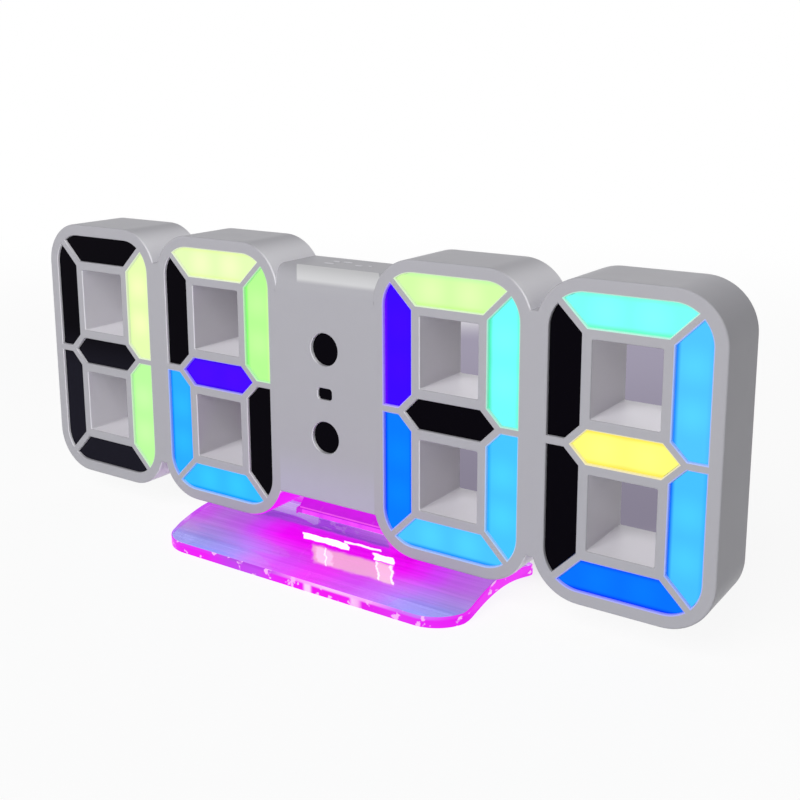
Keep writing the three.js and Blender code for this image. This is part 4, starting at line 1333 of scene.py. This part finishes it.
# Shade on the floor behind the clock, seen through its windows: a fan of soft-edged tones
SHADE_HUB = (0.1821, -0.2367, 0)
SHADE_TURNS = (-42, -33, -21, -18)
SHADE_REACHES = (0.28, 0.33, 0.56, 0.66)
SHADE_NEAR = (140, 134, 152)
SHADE_FAR = (163, 157, 176)

# Light of the stand on the floor behind it: limits in X and Y, soft edge and tone
FLOOR_SPILL_LIMITS = ((-0.0570, 0.0440), (0.0120, 0.0430))
FLOOR_SPILL_SOFT = 0.016
FLOOR_SPILL_TONE = (236, 44, 250)


def shade_tone(made):
    """White, with the shade behind the clock."""
    way = made.between(SHADE_HUB, "SUBTRACT").outputs[0]
    turn = made.join("ARCTAN2", made.part("X", way), made.part("Y", way))
    reach = made.distance(SHADE_HUB)
    turns = [math.radians(degrees) for degrees in SHADE_TURNS]
    steps = []
    for value, (start, full, fading, end) in ((turn, turns), (reach, SHADE_REACHES)):
        steps += [(value, start, full), (value, end, fading)]
    tone = made.ramp(reach, [(SHADE_REACHES[1], SHADE_NEAR), (SHADE_REACHES[2], SHADE_FAR)])
    return made.blend(made.mask(*steps), PURE_WHITE, tone)


def build_floor():
    mesh = bpy.data.meshes.new("floor")
    mesh.from_pydata([(x, y, 0) for x, y in rectangle((0, 0), (FLOOR_SIZE, FLOOR_SIZE))], [], [(0, 1, 2, 3)])
    add_object("floor", mesh)
    made = Finish("floor")
    spill = made.patch(made.part("X"), made.part("Y"), FLOOR_SPILL_LIMITS, FLOOR_SPILL_SOFT)
    tone = made.blend(spill, shade_tone(made), FLOOR_SPILL_TONE)
    lit, glowing = (made.node(f"ShaderNode{kind}", {"Color": tone}) for kind in ("BsdfDiffuse", "Emission"))
    far = made.step(made.distance((0, 0, 0)), *FLOOR_FADE)
    share = made.join("MULTIPLY", made.spread(far, FLOOR_NEAR_SHARE, 1), made.seen_directly())
    made.cover(share, lit, glowing, "Material Output")
    made.tree.nodes.remove(made.shader)
    mesh.materials.append(made.material)


# Light: the world, and lamps with their place, aim, size, power and whether gloss shows them
WORLD_LIGHT = 0.16
LAMP_TARGET = (0, 0, 0.045)
LAMPS = {
    "key": ((0.06, -1.0, 0.78), 0.8, 11.9, True),
    "back": ((-0.15, 1.1, 0.35), 0.8, 5, False),
}


def build_world():
    world = bpy.data.worlds.new("studio")
    bpy.context.scene.world = world
    made = Graph(world)
    soft = made.feed(made.tree.nodes["Background"], {"Color": linear(PURE_WHITE), "Strength": WORLD_LIGHT})
    seen = made.node("ShaderNodeBackground", {"Color": linear(PURE_WHITE)})
    made.cover(made.seen_directly(), soft, seen, "World Output")


def build_lamps():
    for name, (place, size, power, glossy) in LAMPS.items():
        light = bpy.data.lights.new(name, "AREA")
        light.shape = "SQUARE"
        light.size = size
        light.energy = power
        lamp = add_object(name, light)
        lamp.location = place
        lamp.visible_glossy = glossy
        lamp.rotation_euler = (Vector(LAMP_TARGET) - lamp.location).to_track_quat("-Z", "Y").to_euler()


# Camera, fitted to the photograph
CAMERA_PLACE = (0.1821, -0.2367, 0.1318)
CAMERA_AZIMUTH = math.radians(34.29)
CAMERA_ELEVATION = math.radians(11.66)
CAMERA_ROLL = math.radians(-0.2)
CAMERA_LENS = 51.75
CAMERA_SENSOR = 36
CAMERA_SHIFT = -0.1125


def build_camera():
    turned = Matrix.Rotation(CAMERA_AZIMUTH, 4, "Z")
    turned @= Matrix.Rotation(math.pi / 2 - CAMERA_ELEVATION, 4, "X")
    turned @= Matrix.Rotation(CAMERA_ROLL, 4, "Z")
    data = bpy.data.cameras.new("camera")
    data.lens = CAMERA_LENS
    data.sensor_width = CAMERA_SENSOR
    data.shift_y = CAMERA_SHIFT
    camera = add_object("camera", data)
    camera.matrix_world = Matrix.Translation(CAMERA_PLACE) @ turned
    bpy.context.scene.camera = camera


build_floor()
build_world()
build_lamps()
build_camera()
bpy.context.scene.view_settings.view_transform = "Standard"
